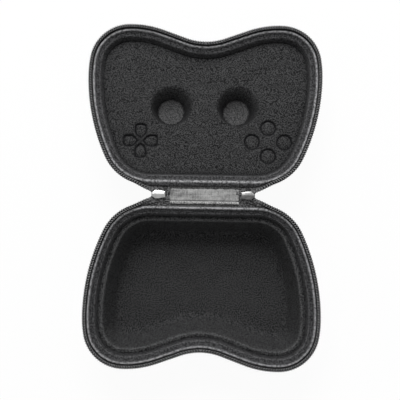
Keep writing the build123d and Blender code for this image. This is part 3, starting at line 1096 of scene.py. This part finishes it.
@dataclass
class LidPanel:
    """Moulded panel of the lid, pressed with two bowls, four arms and four round wells."""

    inset: float = 10.2 * MM
    level: float = -6 * MM
    underside: float = -10.5 * MM
    skin: float = 2 * MM
    edge_round: float = 1.0 * MM
    edge_reach: float = 2.2
    border_widths: tuple[float, float] = (3.2 * MM, 1.2 * MM)
    border_darkness: tuple[float, float] = (0.4, 0.5)
    bowl_x: float = 26.4 * MM
    bowl_v: float = 69.4 * MM
    bowl_shift: tuple[float, float] = (-1.2 * MM, 0.2 * MM)
    bowl_depth: float = 13 * MM
    bowl_curve: float = 1.7
    wall_start: float = 0.05 * MM
    wall_darkness: tuple[float, float] = (0.88, 0.12)
    wall_curve: float = 0.45
    disc_radius: float = 10.9 * MM
    disc_dish: float = 1.5 * MM
    disc_paleness: float = 0.3
    disc_edge: float = 0.5 * MM
    disc_groove: float = 0.3 * MM
    disc_groove_darkness: float = 0.6
    mouth_radius: float = 17.0 * MM
    mouth_shift: tuple[float, float] = (1.2 * MM, 2.7 * MM)
    boss_depth: float = 16 * MM
    boss_inner: float = 15.5 * MM
    boss_outer: float = 22 * MM
    group_x: float = 50.7 * MM
    group_v: float = 43.6 * MM
    hub_radius: float = 3.0 * MM
    hub_darkness: float = 0.5
    arm_reach: float = 7.9 * MM
    arm_half: float = 4.55 * MM
    arm_length: float = 11.2 * MM
    arm_point: float = 2.9 * MM
    arm_softness: float = 1.25 * MM
    well_radius: float = 5.9 * MM
    well_reach: tuple[float, float] = (12.8 * MM, 11.3 * MM)
    pocket: float = 1.5 * MM
    pocket_wall: float = 1.2 * MM
    pocket_paleness: float = 0.02
    pocket_pale_fade: float = 1.5 * MM
    groove_inset: float = 0.1 * MM
    groove_width: float = 0.72 * MM
    groove_depth: float = 0.5 * MM
    pull_width: float = 2.0 * MM
    pull_depth: float = 0.6 * MM
    crown: float = 0.9 * MM
    crown_inset: float = 0.6 * MM
    crown_width: float = 3.2 * MM
    group_angle: float = np.radians(97)
    group_spread: float = np.radians(38)
    group_fade: float = np.radians(8)
    group_density: float = 1.6
    rays: int = 600
    edge_rings: int = 8
    edge_share: float = 0.03
    rings: int = 120
    under_rings: int = 35
    under_edge: tuple[float, float] = (0.999, 0.95)

    def from_disc(self, sign: int, x: Array, v: Array) -> tuple[Array, Array]:
        """Ways in x and v from the middle of the disc on the side with this sign."""
        return x - sign * self.bowl_x - self.bowl_shift[0], v - self.bowl_v - self.bowl_shift[1]

    def arm_distance(self, x: Array, v: Array) -> Array:
        """Distance beyond the arm's outline, minus inside: a soft greatest of the distances beyond
        its sides, the logarithm of a sum of powers of e, which rounds its corners.

        Args:
            x: way across the arm.
            v: way outwards along the arm, from its middle.
        Returns:
            The distance for each point.
        """
        half = self.arm_length / 2
        slope = np.hypot(self.arm_half, self.arm_point)
        point = (self.arm_point * np.abs(x) - self.arm_half * (v + half)) / slope
        sides = np.stack([np.abs(x) - self.arm_half, v - half, point])
        return np.log(np.exp(np.clip(sides / self.arm_softness, -60, 60)).sum(0)) * self.arm_softness

    def pocket_shape(self, distance: Array) -> tuple[Array, Array]:
        """Depth and painted shade of a shallow pocket: its wall, the groove at its foot, the cloth pulled
        down round it and the crown of its floor. The groove is painted dark as shade.

        Args:
            distance: distance beyond the outline, minus inside.
        Returns:
            Depth below the panel, and how much painted shade lies in the groove.
        """
        wall = smooth((self.pocket_wall / 2 - distance) / self.pocket_wall)
        # painted shade in the groove at the pocket's foot
        groove = bell(distance + self.groove_inset, self.groove_width)
        pulled = np.exp(-np.clip(distance, 0, None) / self.pull_width) * self.pull_depth
        crown = smooth((-distance - self.crown_inset) / self.crown_width) * self.crown
        return wall * self.pocket + groove * self.groove_depth + pulled * (1 - wall) - crown, groove

    def bowl_shape(self, dx: Array, dv: Array) -> tuple[Array, Array, Array]:
        """One bowl. Its wall falls from the mouth, a circle set off from the disc, by (1 - t) to a
        power, where t is the share of the way from the disc's edge to the mouth. The wall is painted
        dark as shade, and less so on its side away from the hinge. The disc is dished and painted
        paler as a highlight, with a groove round it that is painted dark as shade.

        Args:
            dx: way in x from the disc's middle.
            dv: way in v from it.
        Returns:
            Depth below the panel, painted shade, and how much painted highlight the disc has.
        """
        r = np.hypot(dx, dv)
        past = np.clip(r - self.disc_radius, 0, None)
        from_mouth = np.hypot(dx - self.mouth_shift[0], dv - self.mouth_shift[1])
        left = np.clip(self.mouth_radius - from_mouth, 0, None)
        t = past / np.maximum(past + left, 1e-6)
        dish = self.disc_dish * (1 - np.clip(r / self.disc_radius, 0, 1) ** 2)
        groove = bell(r - self.disc_radius, self.disc_edge)
        near, far = self.wall_darkness
        # painted shade on the bowl's wall, strongest on the hinge side and the flanks
        shade = near - (near - far) * smooth(dv / np.maximum(r, 1e-6))
        wall = (past > self.wall_start) * (1 - t) ** self.wall_curve * shade
        depth = self.bowl_depth * (1 - t) ** self.bowl_curve + dish + groove * self.disc_groove
        # painted highlight: the disc is painted paler
        painted_highlight = self.disc_paleness * smooth((self.disc_radius - self.disc_edge - r) / MM)
        # painted shade in the groove round the disc, or on the wall, whichever is darker
        return depth, np.maximum(groove * self.disc_groove_darkness, wall), painted_highlight

    def boss_drop(self, x: Array, v: Array) -> Array:
        """How far the underside hangs down round the bowls: boss_depth out to boss_inner from a disc's
        middle, and nothing beyond boss_outer, by a smooth step.

        Args:
            x: plan places.
            v: plan places.
        Returns:
            The drop at each place.
        """
        reach = np.minimum(*(np.hypot(*self.from_disc(side.value, x, v)) for side in Side))
        return self.boss_depth * smooth((self.boss_outer - reach) / (self.boss_outer - self.boss_inner))

    def pocket_distances(self, x: Array, v: Array) -> list[Array]:
        """Distances beyond the outlines of the arms and wells. Each turn is a quarter turn on.

        Args:
            x: plan places.
            v: plan places.
        Returns:
            One array for each pocket.
        """
        found = []
        for east, north in ((0, 1), (-1, 0), (0, -1), (1, 0)):
            dx, dv = x + self.group_x, v - self.group_v
            found.append(self.arm_distance(dx * north - dv * east, dx * east + dv * north - self.arm_reach))
            wx, wv = self.group_x + east * self.well_reach[0], self.group_v + north * self.well_reach[1]
            found.append(np.hypot(x - wx, v - wv) - self.well_radius)
        return found

    def relief(self, x: Array, v: Array) -> tuple[Array, Array, Array]:
        """Depth below the panel's level, painted shade and painted highlight, from the bowls, arms
        and wells.

        Args:
            x: plan places.
            v: plan places.
        Returns:
            Depth, painted shade and painted highlight at each place.
        """
        # painted shade round the hub between the four arms
        hub = bell(np.hypot(x + self.group_x, v - self.group_v), self.hub_radius) * self.hub_darkness
        depth, crease, painted_highlight = np.zeros_like(x), hub, np.zeros_like(x)
        for side in Side:
            bowl, dark, pale = self.bowl_shape(*self.from_disc(side.value, x, v))
            depth, crease, painted_highlight = depth + bowl, np.maximum(crease, dark), painted_highlight + pale
        for distance in self.pocket_distances(x, v):
            pocket, dark = self.pocket_shape(distance)
            depth, crease = depth + pocket, np.maximum(crease, dark)
            # faint painted highlight on the floors of the arms and wells
            inside = smooth((-distance - self.crown_inset) / self.pocket_pale_fade)
            painted_highlight += self.pocket_paleness * inside
        return depth, crease, painted_highlight

    def rim_ways(self) -> Array:
        """Ways round the rim, closer together where the arms and wells lie, seen from the heart: within
        group_spread of the two directions at group_angle to each side of straight outwards.

        Returns:
            The ways.
        """
        way = np.linspace(0, RIM.length, 4000, endpoint=False)
        points, normals = RIM.at(way)
        ring = points + normals * self.inset - HEART
        angle = np.unwrap(np.arctan2(ring[:, 1], ring[:, 0]))
        from_outwards = np.abs(np.mod(angle + np.pi / 2, 2 * np.pi) - np.pi)
        off_group = np.abs(from_outwards - self.group_angle)
        density = 1 + self.group_density * (1 - smooth((off_group - self.group_spread) / self.group_fade))
        total = np.concatenate([[0.0], np.cumsum(density * np.gradient(angle))])
        wanted = np.linspace(0, total[-1], self.rays, endpoint=False)
        return np.interp(wanted, total, np.append(way, RIM.length))

    def upper_face(self, ring: Array) -> tuple[Array, Array, Array]:
        """Height field on rings between rim and heart, closer together at the rounded edge.

        Args:
            ring: plan points of the panel's edge, with a third column of 0.
        Returns:
            Points with heights, painted shade and painted highlight.
        """
        close = 1 - np.linspace(0, self.edge_share, self.edge_rings)
        wide_apart = np.linspace(1 - self.edge_share, 0, self.rings + 2)[1:-1]
        top = to_heart(ring, np.concatenate([close, wide_apart]))
        depth, crease, painted_highlight = self.relief(top[..., 0], top[..., 1])
        inwards = np.linalg.norm(ring[:, None, :2] - top[..., :2], axis=-1)
        fall = np.clip(1 - inwards / (self.edge_reach * self.edge_round), 0, 1)
        top[..., 2] = self.level - depth - self.edge_round * (1 - np.sqrt(1 - fall ** 2))
        # painted shade along the panel's edge, fading inwards
        wide, narrow = self.border_darkness
        border = wide * np.exp(-inwards / self.border_widths[0])
        border += narrow * smooth(1 - inwards / self.border_widths[1])
        return top, np.maximum(crease, border), painted_highlight

    def build(self, finishes: Finishes) -> None:
        """Upper face and underside, which hangs down round the bowls, closed at the heart.

        Args:
            finishes: the case's materials.
        """
        points, normals = RIM.at(self.rim_ways())
        ring = np.concatenate([points + normals * self.inset, np.zeros((len(points), 1))], 1)
        top, crease, painted_highlight = self.upper_face(ring)
        first, second = self.under_edge
        shares = np.concatenate([[first], np.linspace(second, 0, self.under_rings + 1)[:-1]])
        below = to_heart(ring, shares)[:, ::-1]
        drop = self.boss_drop(below[..., 0], below[..., 1])
        below[..., 2] = np.minimum(self.underside, self.level - drop - self.skin)
        whole = np.concatenate([below, top], 1)
        dark, pale = (np.concatenate([np.zeros(below.shape[:2]), mark], 1) for mark in (crease, painted_highlight))
        surface = Surface("lid_panel")
        ids = surface.grid(HalfFrame(Half.LID).place(whole), (True, False), {"crease": dark, "crest": pale})
        close_floors(surface, ids, Half.LID, self.underside, self.level)
        panel = surface.build(finishes.lining)
        Place("lid", "lining_cloth", ("lid_insert",)).settle(panel)


@dataclass
class ZipRun:
    """One side's stretch of zip on one half: along the rim from the dip, then off it into the slider."""

    half: Half
    side: Side
    leave_x: float = 56 * MM
    join_x: float = 31 * MM
    flat_x: float = 40.5 * MM
    end_x: float = 25.9 * MM
    blend_from: tuple[float, float] = (57 * MM, 10 * MM)
    blend_to: tuple[float, float] = (47 * MM, 1.5 * MM)
    near_hinge: float = 120 * MM
    outward: float = 6.1 * MM
    sink: float = 3.8 * MM
    pitch: float = 2.0 * MM
    coil_inset: float = 1.15 * MM
    coil_half_width: float = 1.1 * MM
    coil_half_height: float = 0.5 * MM
    coil_level: float = 3.8 * MM
    coil_power: float = 0.75
    leg_shade: tuple[float, float] = (0.35, 1.6)
    strand: float = 0.4 * MM
    slant: float = 0.3
    bend_from: float = 0.3
    bend_span: float = 0.4
    turn_points: int = 18
    strand_sides: int = 7
    tape_rings: int = 420
    tape_thickness: float = 0.45 * MM
    tape_corners: tuple[tuple[float, float], ...] = (
        (3.5 * MM, -0.3 * MM), (2.5 * MM, -0.3 * MM), (1.5 * MM, 2.7 * MM), (0.1 * MM, 2.75 * MM))
    tape_radii: tuple[float, float] = (0.5 * MM, 0.3 * MM)
    tape_arc_points: int = 5
    tape_facet: float = 0.7 * MM
    tape_darkness: float = 0.85

    @property
    def name(self) -> str:
        """Start of the names of this run's pieces."""
        return f"{self.half.value}_{self.side.label}"

    @property
    def direction(self) -> int:
        """Sign of x of this side in the half's own frame."""
        return direction(self.half, self.side)

    def way_of_x(self, x: float) -> float:
        """Way along the rim to where it is this far sideways, near the hinge."""
        way = np.linspace(0, self.near_hinge, 4001)
        return float(np.interp(x, RIM.at(way)[0][:, 0], way))

    def ways(self, count: int) -> Array:
        """Ways from the dip to the zip's end inside the slider, evenly spaced.

        Args:
            count: how many.
        Returns:
            The ways.
        """
        ways = np.linspace(RIM.length / 2, self.way_of_x(self.end_x), count)
        return ways if self.direction > 0 else RIM.length - ways

    def off_rim(self, way: Array, join_x: float) -> Array:
        """How far the zip has left the rim, from 0 on it to 1 where it joins the chain.

        Args:
            way: ways along the rim.
            join_x: distance from the hinge's middle at which it has joined.
        Returns:
            The smooth share for each way.
        """
        reach = np.minimum(np.mod(way, RIM.length), RIM.length - np.mod(way, RIM.length))
        leave, join = self.way_of_x(self.leave_x), self.way_of_x(join_x)
        return smooth((leave - reach) / (leave - join))

    def spot(self, way: Array, u: Array, z: Array) -> Array:
        """Points at a way along the zip, this far inside the coil's outer edge and at this height.

        Args:
            way: ways along the rim.
            u: inset from the coil's outer edge.
            z: height in the half's own frame.
        Returns:
            Points in the row frame.
        """
        points, normals = RIM.at(way)
        inset = (u - self.outward * self.off_rim(way, self.join_x))[..., None]
        height = z - self.sink * self.off_rim(way, self.flat_x)
        return HalfFrame(self.half).place(np.concatenate([points + inset * normals, height[..., None]], -1))

    def settle(self, piece: bpy.types.Object, slot: str, nodes: tuple[str, ...]) -> None:
        """Bakes the piece's place into its mesh and hides the CAD nodes that it stands for.

        Args:
            piece: the finished object.
            slot: its material slot, not used.
            nodes: the CAD nodes it stands for.
        """
        start, end = (HalfFrame(self.half).place(np.array([self.direction * x, v, 0.0]))
                      for x, v in (self.blend_from, self.blend_to))
        if self.half is Half.BASE:
            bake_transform(piece)
        else:
            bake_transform(piece)
        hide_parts(*nodes)

    def build_coil(self, finishes: Finishes) -> None:
        """Round strand along a flattened helix. Each turn goes once round a squared ellipse, over the
        top inwards and back below. It moves on by one pitch, mostly at the inner bend, so that its two
        legs lie above each other and show gaps between the turns. The strand is a tube about that line.

        Args:
            finishes: the case's materials.
        """
        start, end = RIM.length / 2, self.way_of_x(self.end_x)
        turns = int((start - end) / self.pitch)
        count = turns * self.turn_points
        t = np.linspace(0, turns, count)
        part = np.mod(t, 1.0)
        bent = smooth((part - self.bend_from) / self.bend_span)
        advance = np.floor(t) + self.slant * part + (1 - self.slant) * bent
        way = start - advance * (start - end) / turns
        way = way if self.direction > 0 else RIM.length - way
        phase = 2 * np.pi * t
        across, upwards = (
            np.sign(wave) * np.abs(wave) ** self.coil_power for wave in (np.cos(phase), np.sin(phase)))
        line = self.spot(way, self.coil_inset - self.coil_half_width * across,
                         self.coil_level + self.coil_half_height * upwards)
        middle = self.spot(way, np.full(count, self.coil_inset), np.full(count, self.coil_level))
        tangent = np.gradient(line, axis=0)
        tangent /= np.linalg.norm(tangent, axis=1, keepdims=True)
        outwards = line - middle
        outwards -= np.sum(outwards * tangent, 1, keepdims=True) * tangent
        outwards /= np.linalg.norm(outwards, axis=1, keepdims=True)
        beside = np.cross(tangent, outwards)
        angle = np.linspace(0, 2 * np.pi, self.strand_sides, endpoint=False)[None, :, None]
        turned = np.cos(angle) * outwards[:, None] + np.sin(angle) * beside[:, None]
        surface = Surface(f"{self.name}_coil")
        # painted shade: the lower legs are darkened through the mark "crease"
        lower_legs = smooth(self.leg_shade[0] - self.leg_shade[1] * upwards)
        surface.tube(line[:, None] + self.strand * turned,
                     {"crease": np.repeat(lower_legs[:, None], self.strand_sides, 1)})
        nodes = (f"{self.half.value}_zipper_coil", f"{self.side.label}_chain_coil")
        self.settle(surface.build(finishes.coil), "zip_coil", nodes)

    def build_tape(self, finishes: Finishes) -> None:
        """Ribbon sewn flat under the binding, rising outwards to the coil. Where the zip leaves the
        rim the ribbon turns from that line to a flat one, point by point.

        Args:
            finishes: the case's materials.
        """
        ways = self.ways(self.tape_rings)
        rise = rounded(list(self.tape_corners), list(self.tape_radii), self.tape_arc_points)
        rise = divided(rise, self.tape_facet)
        run = along(rise)
        off = self.off_rim(ways, self.flat_x)[:, None]
        u = rise[None, :, 0] * (1 - off) + (rise[-1, 0] + run[-1] - run)[None, :] * off
        z = rise[None, :, 1] * (1 - off) + self.coil_level * off
        slope_u, slope_z = np.gradient(u, axis=1), np.gradient(z, axis=1)
        step = self.tape_thickness / 2 / np.hypot(slope_u, slope_z)
        loop_u = np.concatenate([u - slope_z * step, (u + slope_z * step)[:, ::-1]], 1)
        loop_z = np.concatenate([z + slope_u * step, (z - slope_u * step)[:, ::-1]], 1)
        rings = self.spot(np.repeat(ways[:, None], loop_u.shape[1], 1), loop_u, loop_z)
        surface = Surface(f"{self.name}_tape")
        # painted shade on the tape where it lies on the rim, fading out where the zip leaves it
        surface.tube(rings, {"crease": np.repeat(self.tape_darkness * (1 - off), rings.shape[1], 1)})
        nodes = (f"{self.half.value}_zipper_tape", f"{self.side.label}_chain_tape")
        self.settle(surface.build(finishes.tape), "zip_tape", nodes)


@dataclass
class HingeCloth:
    """One half of the hinge cloth: from the hinge's middle over a fold line and the seam to its
    tucked edge, which lies under the rolled binding."""

    half: Half
    half_width: float = 27.5 * MM
    aside: float = 1.1 * MM
    fold_end: float = 4.2 * MM
    flap_end: float = 7.8 * MM
    tuck_end: float = 10.9 * MM
    tuck_fade: float = 0.7 * MM
    tuck_thickness: float = 0.25 * MM
    thickness: float = 0.7 * MM
    thinnest: float = 0.2 * MM
    land: float = -0.58 * MM
    level: float = 0.38 * MM
    fold_width: float = 0.38 * MM
    fold_depth: float = 0.35 * MM
    fold_darkness: float = 0.6
    ridge: float = 6.1 * MM
    ridge_width: float = 0.9 * MM
    ridge_height: float = 0.3 * MM
    wave_height: float = 0.1 * MM
    wave_lengths: tuple[float, float] = (5.1 * MM, 2.1 * MM)
    end_width: float = 0.6 * MM
    end_drop: float = 0.25 * MM
    end_fray: float = 1.4 * MM
    end_frayed: float = 0.7
    lid_shade_from: float = 3.7 * MM
    base_fray: float = 6.2 * MM
    fray_fade: float = 1.8 * MM
    columns: int = 150
    rows: tuple[int, int, int] = (15, 29, 7)

    def build(self, finishes: Finishes) -> None:
        """Closed thin sheet: a height over v, with a crease at the fold and a ridge at the seam,
        and gentle waves along x.

        Args:
            finishes: the case's materials.
        """
        fold, on_lid = FOLD_WIDTH / 2, self.half is Half.LID
        stops = (0.0, self.fold_end, self.flap_end, self.tuck_end)
        v = np.concatenate([[0.0]] + [
            np.linspace(first, last, count)[1:] for first, last, count in zip(stops, stops[1:], self.rows)])
        x = np.linspace(-self.half_width, self.half_width, self.columns)
        x += self.aside if on_lid else -self.aside
        grid_x, grid_v = np.meshgrid(x, v, indexing="ij")
        crease = bell(grid_v - fold, self.fold_width)
        seam = bell(grid_v - self.ridge, self.ridge_width) * (not on_lid)
        long, short = self.wave_lengths
        waves = self.wave_height * np.sin(grid_x / long + 1.0) * np.sin(grid_v / short) * (grid_v < fold)
        end = self.half_width - np.abs(grid_x - x.mean())
        upper = (self.level - self.fold_depth * crease + self.ridge_height * seam + waves
                 - self.end_drop * smooth(1 - end / self.end_width))
        tucked = smooth((grid_v - self.flap_end + self.tuck_fade) / self.tuck_fade)
        upper = upper * (1 - tucked) + (self.land + self.tuck_thickness) * tucked
        lower = np.minimum(np.maximum(upper - self.thickness, self.land), upper - self.thinnest)
        # painted shadow on the lid's side under the roll, dark threads on the base's tucked edge and at the
        # ends
        fray = smooth((grid_v - (self.lid_shade_from if on_lid else self.base_fray)) / self.fray_fade)
        frayed = np.maximum(fray, self.end_frayed * smooth(1 - end / self.end_fray))
        none = np.zeros_like(seam)
        # painted shade in the fold line's crease
        crease *= self.fold_darkness
        marks = {key: np.concatenate([above, below], 1) for key, above, below in (
            ("seam", seam, none), ("crease", crease, none), ("frayed", frayed, none + 1))}
        surface = Surface(f"{self.half.value}_hinge_cloth")
        surface.tube(folded(self.half, sheet_loops(grid_x, grid_v, upper, lower)), marks, {"frayed": 1.0})
        cloth = surface.build(finishes.hinge)
        start, end = fold_zone(self.half)
        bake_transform(cloth)
        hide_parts("hinge_strip", f"{self.half.value}_hinge_flap")


@dataclass
class TapeEnd:
    """Woven end of the zip's tape on one side of one half, sewn from the chain across the fold line
    to under the rolled binding."""

    half: Half
    side: Side
    start_x: float = 25.5 * MM
    end_x: float = 47 * MM
    narrow_x: float = 38 * MM
    narrow_v: float = 7.6 * MM
    tuck_end: float = 10.5 * MM
    top: float = -0.25 * MM
    land: float = -0.58 * MM
    fold_width: float = 0.5 * MM
    fold_depth: float = 0.12 * MM
    stitch_places: tuple[float, float] = (27.4 * MM, 29.2 * MM)
    stitch_width: float = 0.35 * MM
    stitch_depth: float = 0.2 * MM
    stitch_end: float = 6 * MM
    columns: int = 40
    rows: int = 24

    def build(self, finishes: Finishes) -> None:
        """Closed thin sheet over x and v. From narrow_x on, its free edge runs off towards the rim.

        Args:
            finishes: the case's materials.
        """
        x = np.linspace(self.start_x, self.end_x, self.columns)
        near = self.narrow_v * smooth((x - self.narrow_x) / (self.end_x - self.narrow_x))
        share = np.linspace(0, 1, self.rows)
        v = near[:, None] + (self.tuck_end - near)[:, None] * share[None, :]
        grid_x = np.repeat(x[:, None], self.rows, 1)
        stitches = sum(bell(grid_x - place, self.stitch_width) for place in self.stitch_places)
        upper = (self.top - self.fold_depth * bell(v - FOLD_WIDTH / 2, self.fold_width)
                 - self.stitch_depth * stitches * (v < self.stitch_end))
        loops = sheet_loops(grid_x * direction(self.half, self.side), v, upper, self.land)
        surface = Surface(f"{self.half.value}_{self.side.label}_tape_end")
        surface.tube(folded(self.half, loops))
        tape = surface.build(finishes.tape)
        start, end = fold_zone(self.half)
        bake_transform(tape)


@dataclass
class Slider:
    """Cast slider at one end of the hinge: its body with softened edges and a crowned upper plate."""

    side: Side
    edge: float = 0.22 * MM
    edge_segments: int = 3
    edge_angle: float = np.radians(35)
    weld: float = 0.01 * MM
    waist: float = 0.74
    shoulder: float = 0.88
    waist_span: tuple[float, float] = (0.2, 0.4)
    slim_level: float = 37.6 * MM
    slim_fade: float = 0.8 * MM
    crown: float = 0.75 * MM
    crown_share: float = 0.75
    crown_power: float = 1.35
    crown_end_power: int = 8
    crown_span: tuple[float, float] = (0.02, 0.98)
    crown_knots: tuple[float, ...] = (0.0, 0.05, 0.2, 0.4, 0.72, 0.93, 1.0)
    crown_widths_mm: tuple[float, ...] = (2.2, 2.6, 2.6, 3.2, 3.3, 1.9, 0.7)
    crown_columns: int = 41
    crown_rows: int = 25
    crown_sink: float = 0.15 * MM
    crown_edge: float = 0.1 * MM

    def slimmed(self, mesh: bpy.types.Mesh) -> None:
        """Draws the upper plate's sides in: the way from the hinge's middle shrinks by a share that
        runs from waist at the tail to shoulder at the nose, and that fades out below the plate.

        Args:
            mesh: the slider's mesh, which is changed.
        """
        points = np.zeros(len(mesh.vertices) * 3, np.float32)
        mesh.vertices.foreach_get("co", points)
        points = points.reshape(-1, 3)
        reach = np.abs(points[:, 0])
        t = (reach - reach.min()) / (reach.max() - reach.min())
        share = np.interp(t, self.waist_span, (self.waist, self.shoulder))
        height = smooth((points[:, 2] - self.slim_level) / self.slim_fade)
        points[:, 1] = HINGE_Y + (points[:, 1] - HINGE_Y) * (1 - (1 - share) * height)
        mesh.vertices.foreach_set("co", points.reshape(-1))

    def softened(self, node: str, name: str, material: bpy.types.Material) -> bpy.types.Object:
        """Copy of a CAD node with its loose triangles merged and its edges rounded.

        Args:
            node: the node that it is copied from.
            name: name of the new piece.
            material: its finish.
        Returns:
            The new object.
        """
        mesh = frame["nodes"][node].data.copy()
        mesh.name = name
        if node.endswith("slider_body"):
            self.slimmed(mesh)
        piece = link_new(name, mesh)
        weld = piece.modifiers.new("weld", "WELD")
        weld.merge_threshold = self.weld
        round_off = piece.modifiers.new("edges", "BEVEL")
        round_off.width, round_off.segments = self.edge, self.edge_segments
        round_off.limit_method, round_off.angle_limit = "ANGLE", self.edge_angle
        round_off.harden_normals = False
        bpy.context.view_layer.update()
        baked = bpy.data.meshes.new_from_object(piece.evaluated_get(bpy.context.evaluated_depsgraph_get()))
        piece.modifiers.clear()
        piece.data = baked
        baked.materials.clear()
        baked.materials.append(material)
        baked.polygons.foreach_set("use_smooth", np.zeros(len(baked.polygons), bool))
        LOG.info("%s: %d faces", name, len(baked.polygons))
        return piece

    def crowned_plate(self, material: bpy.types.Material) -> bpy.types.Object:
        """Roof-shaped cap on the slider. Its half width w runs over x from tail to nose. Over the share
        s of w its height falls from the ridge by s to the power crown_power, and the rest of it stays
        nearly full up to the edge.

        Args:
            material: its finish.
        Returns:
            The cap.
        """
        low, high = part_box(f"{self.side.label}_slider_body")
        tail, nose = (low.x, high.x) if self.side is Side.RIGHT else (high.x, low.x)
        t = np.linspace(*self.crown_span, self.crown_columns)
        w = np.interp(t, self.crown_knots, np.array(self.crown_widths_mm) * MM)
        w = np.convolve(np.pad(w, 2, mode="edge"), np.ones(5) / 5, "valid")
        s = np.linspace(-1, 1, self.crown_rows)
        power = self.crown_end_power
        roof, full = 1 - np.abs(s) ** self.crown_power, np.sqrt(np.clip(1 - s ** power, 0, 1))
        height = self.crown * (roof * self.crown_share + full * (1 - self.crown_share))
        ends = np.sqrt(np.clip(1 - np.abs(2 * t - 1) ** power, 0, 1))
        base_z = high.z - self.crown_sink
        grid_x = np.repeat((tail + (nose - tail) * t)[:, None], len(s), 1)
        upper = base_z + self.crown_edge + ends[:, None] * height[None, :]
        surface = Surface(f"{self.side.label}_slider_crown")
        surface.tube(sheet_loops(grid_x, HINGE_Y + w[:, None] * s[None, :], upper, base_z))
        return surface.build(material)

    def build(self, finishes: Finishes) -> None:
        """Body and crown ride on the spine, and the pull tab on its own body.

        Args:
            finishes: the case's materials.
        """
        name = self.side.label
        # painted shade: the right slider gets a darker copy of the plating
        metal = finishes.metal if self.side is Side.LEFT else finishes.dull_metal
        body = self.softened(f"{name}_slider_body", f"{name}_slider", metal)
        Place("spine", "slider_metal", (f"{name}_slider_body",)).settle(body)
        Place("spine", "slider_metal").settle(self.crowned_plate(metal))
        tab = self.softened(f"{name}_pull_tab", f"{name}_pull", metal)
        Place(f"{name}_pull", "slider_metal", (f"{name}_pull_tab",)).settle(tab)


@dataclass
class Studio:
    """White table and backdrop in one, soft light from above and behind, and the camera."""

    camera_place: Triple = (0.0098, 0.0524, 0.650)
    camera_turn: Triple = (1.395, 1.118, 0.950)
    lens: float = 70.37
    table_size: float = 6.0
    table_white: float = 0.95
    sky: float = 0.42
    key_power: float = 20.0
    key_place: Triple = (-0.1, 1.1, 1.0)
    key_size: float = 0.8

    def build(self) -> None:
        """Makes table, world, light and camera."""
        self.table()
        self.world()
        self.lamp("key", self.key_place, self.key_power, self.key_size)
        data = bpy.data.cameras.new("camera")
        data.lens, data.sensor_width = self.lens, 36.0
        camera = link_new("camera", data)
        camera.location = self.camera_place
        camera.rotation_euler = Euler(np.radians(self.camera_turn))
        bpy.context.scene.camera = camera
        bpy.context.scene.view_settings.view_transform = "Standard"

    def table(self) -> None:
        """Flat white table that keeps a soft shadow and shows white to the camera and to glossy rays."""
        half = self.table_size / 2
        mesh = bpy.data.meshes.new("table")
        corners = [(-half, -half, 0), (half, -half, 0), (half, half, 0), (-half, half, 0)]
        mesh.from_pydata(corners, [], [(0, 1, 2, 3)])
        table = link_new("table", mesh)
        graph = Graph("table_paper")
        grain = graph.noise(2 * MM, 3.0)
        colour = graph.blend(grain, (0.86, 0.86, 0.86), (0.9, 0.9, 0.9))
        paper = graph.node("ShaderNodeBsdfPrincipled", None, {"Base Color": colour, "Roughness": 0.8})
        rays = graph.node("ShaderNodeLightPath")
        camera_ray, glossy_ray, clear_ray = (
            graph.value(rays, f"Is {kind} Ray") for kind in ("Camera", "Glossy", "Transmission"))
        seen = (camera_ray + glossy_ray + clear_ray).held()
        white = graph.node("ShaderNodeEmission", None, {"Color": (1, 1, 1, 1), "Strength": 1.0})
        mix = graph.node("ShaderNodeMixShader", None, {
            0: seen * self.table_white, 1: graph.value(paper), 2: graph.value(white)})
        graph.node("ShaderNodeOutputMaterial", None, {"Surface": graph.value(mix)})
        mesh.materials.append(graph.material)

    def world(self) -> None:
        """Even white surroundings."""
        world = bpy.data.worlds.new("surroundings")
        world.use_nodes = True
        world.node_tree.nodes["Background"].inputs["Color"].default_value = (1, 1, 1, 1)
        world.node_tree.nodes["Background"].inputs["Strength"].default_value = self.sky
        bpy.context.scene.world = world

    def lamp(self, name: str, place: Triple, power: float, size: float) -> None:
        """Square soft lamp that faces the middle of the hinge.

        Args:
            name: its name.
            place: where it hangs.
            power: in watts.
            size: length of its side.
        """
        data = bpy.data.lights.new(name, "AREA")
        data.energy, data.size = power, size
        lamp = link_new(name, data)
        lamp.location = place
        aim = Vector((0, HINGE_Y, 0)) - Vector(place)
        lamp.rotation_euler = aim.to_track_quat("-Z", "Y").to_euler()


def main() -> None:
    """Builds the studio and then every sub-assembly of the case, in order."""
    logging.basicConfig(level=logging.INFO, format="%(message)s")
    Studio().build()
    finishes = Finishes.make()
    MouldedShell(Half.BASE, depth=40 * MM, edge_radius=14 * MM).build(finishes)
    MouldedShell(Half.LID, depth=30 * MM, edge_radius=12 * MM).build(finishes)
    BaseTray().build(finishes)
    LidPanel().build(finishes)
    for half in Half:
        LiningBand(half).build(finishes)
        HingeCloth(half).build(finishes)
        for side in Side:
            run = ZipRun(half, side)
            run.build_coil(finishes)
            run.build_tape(finishes)
            TapeEnd(half, side).build(finishes)
    for side in Side:
        Slider(side).build(finishes)


if __name__ == "__main__":
    main()
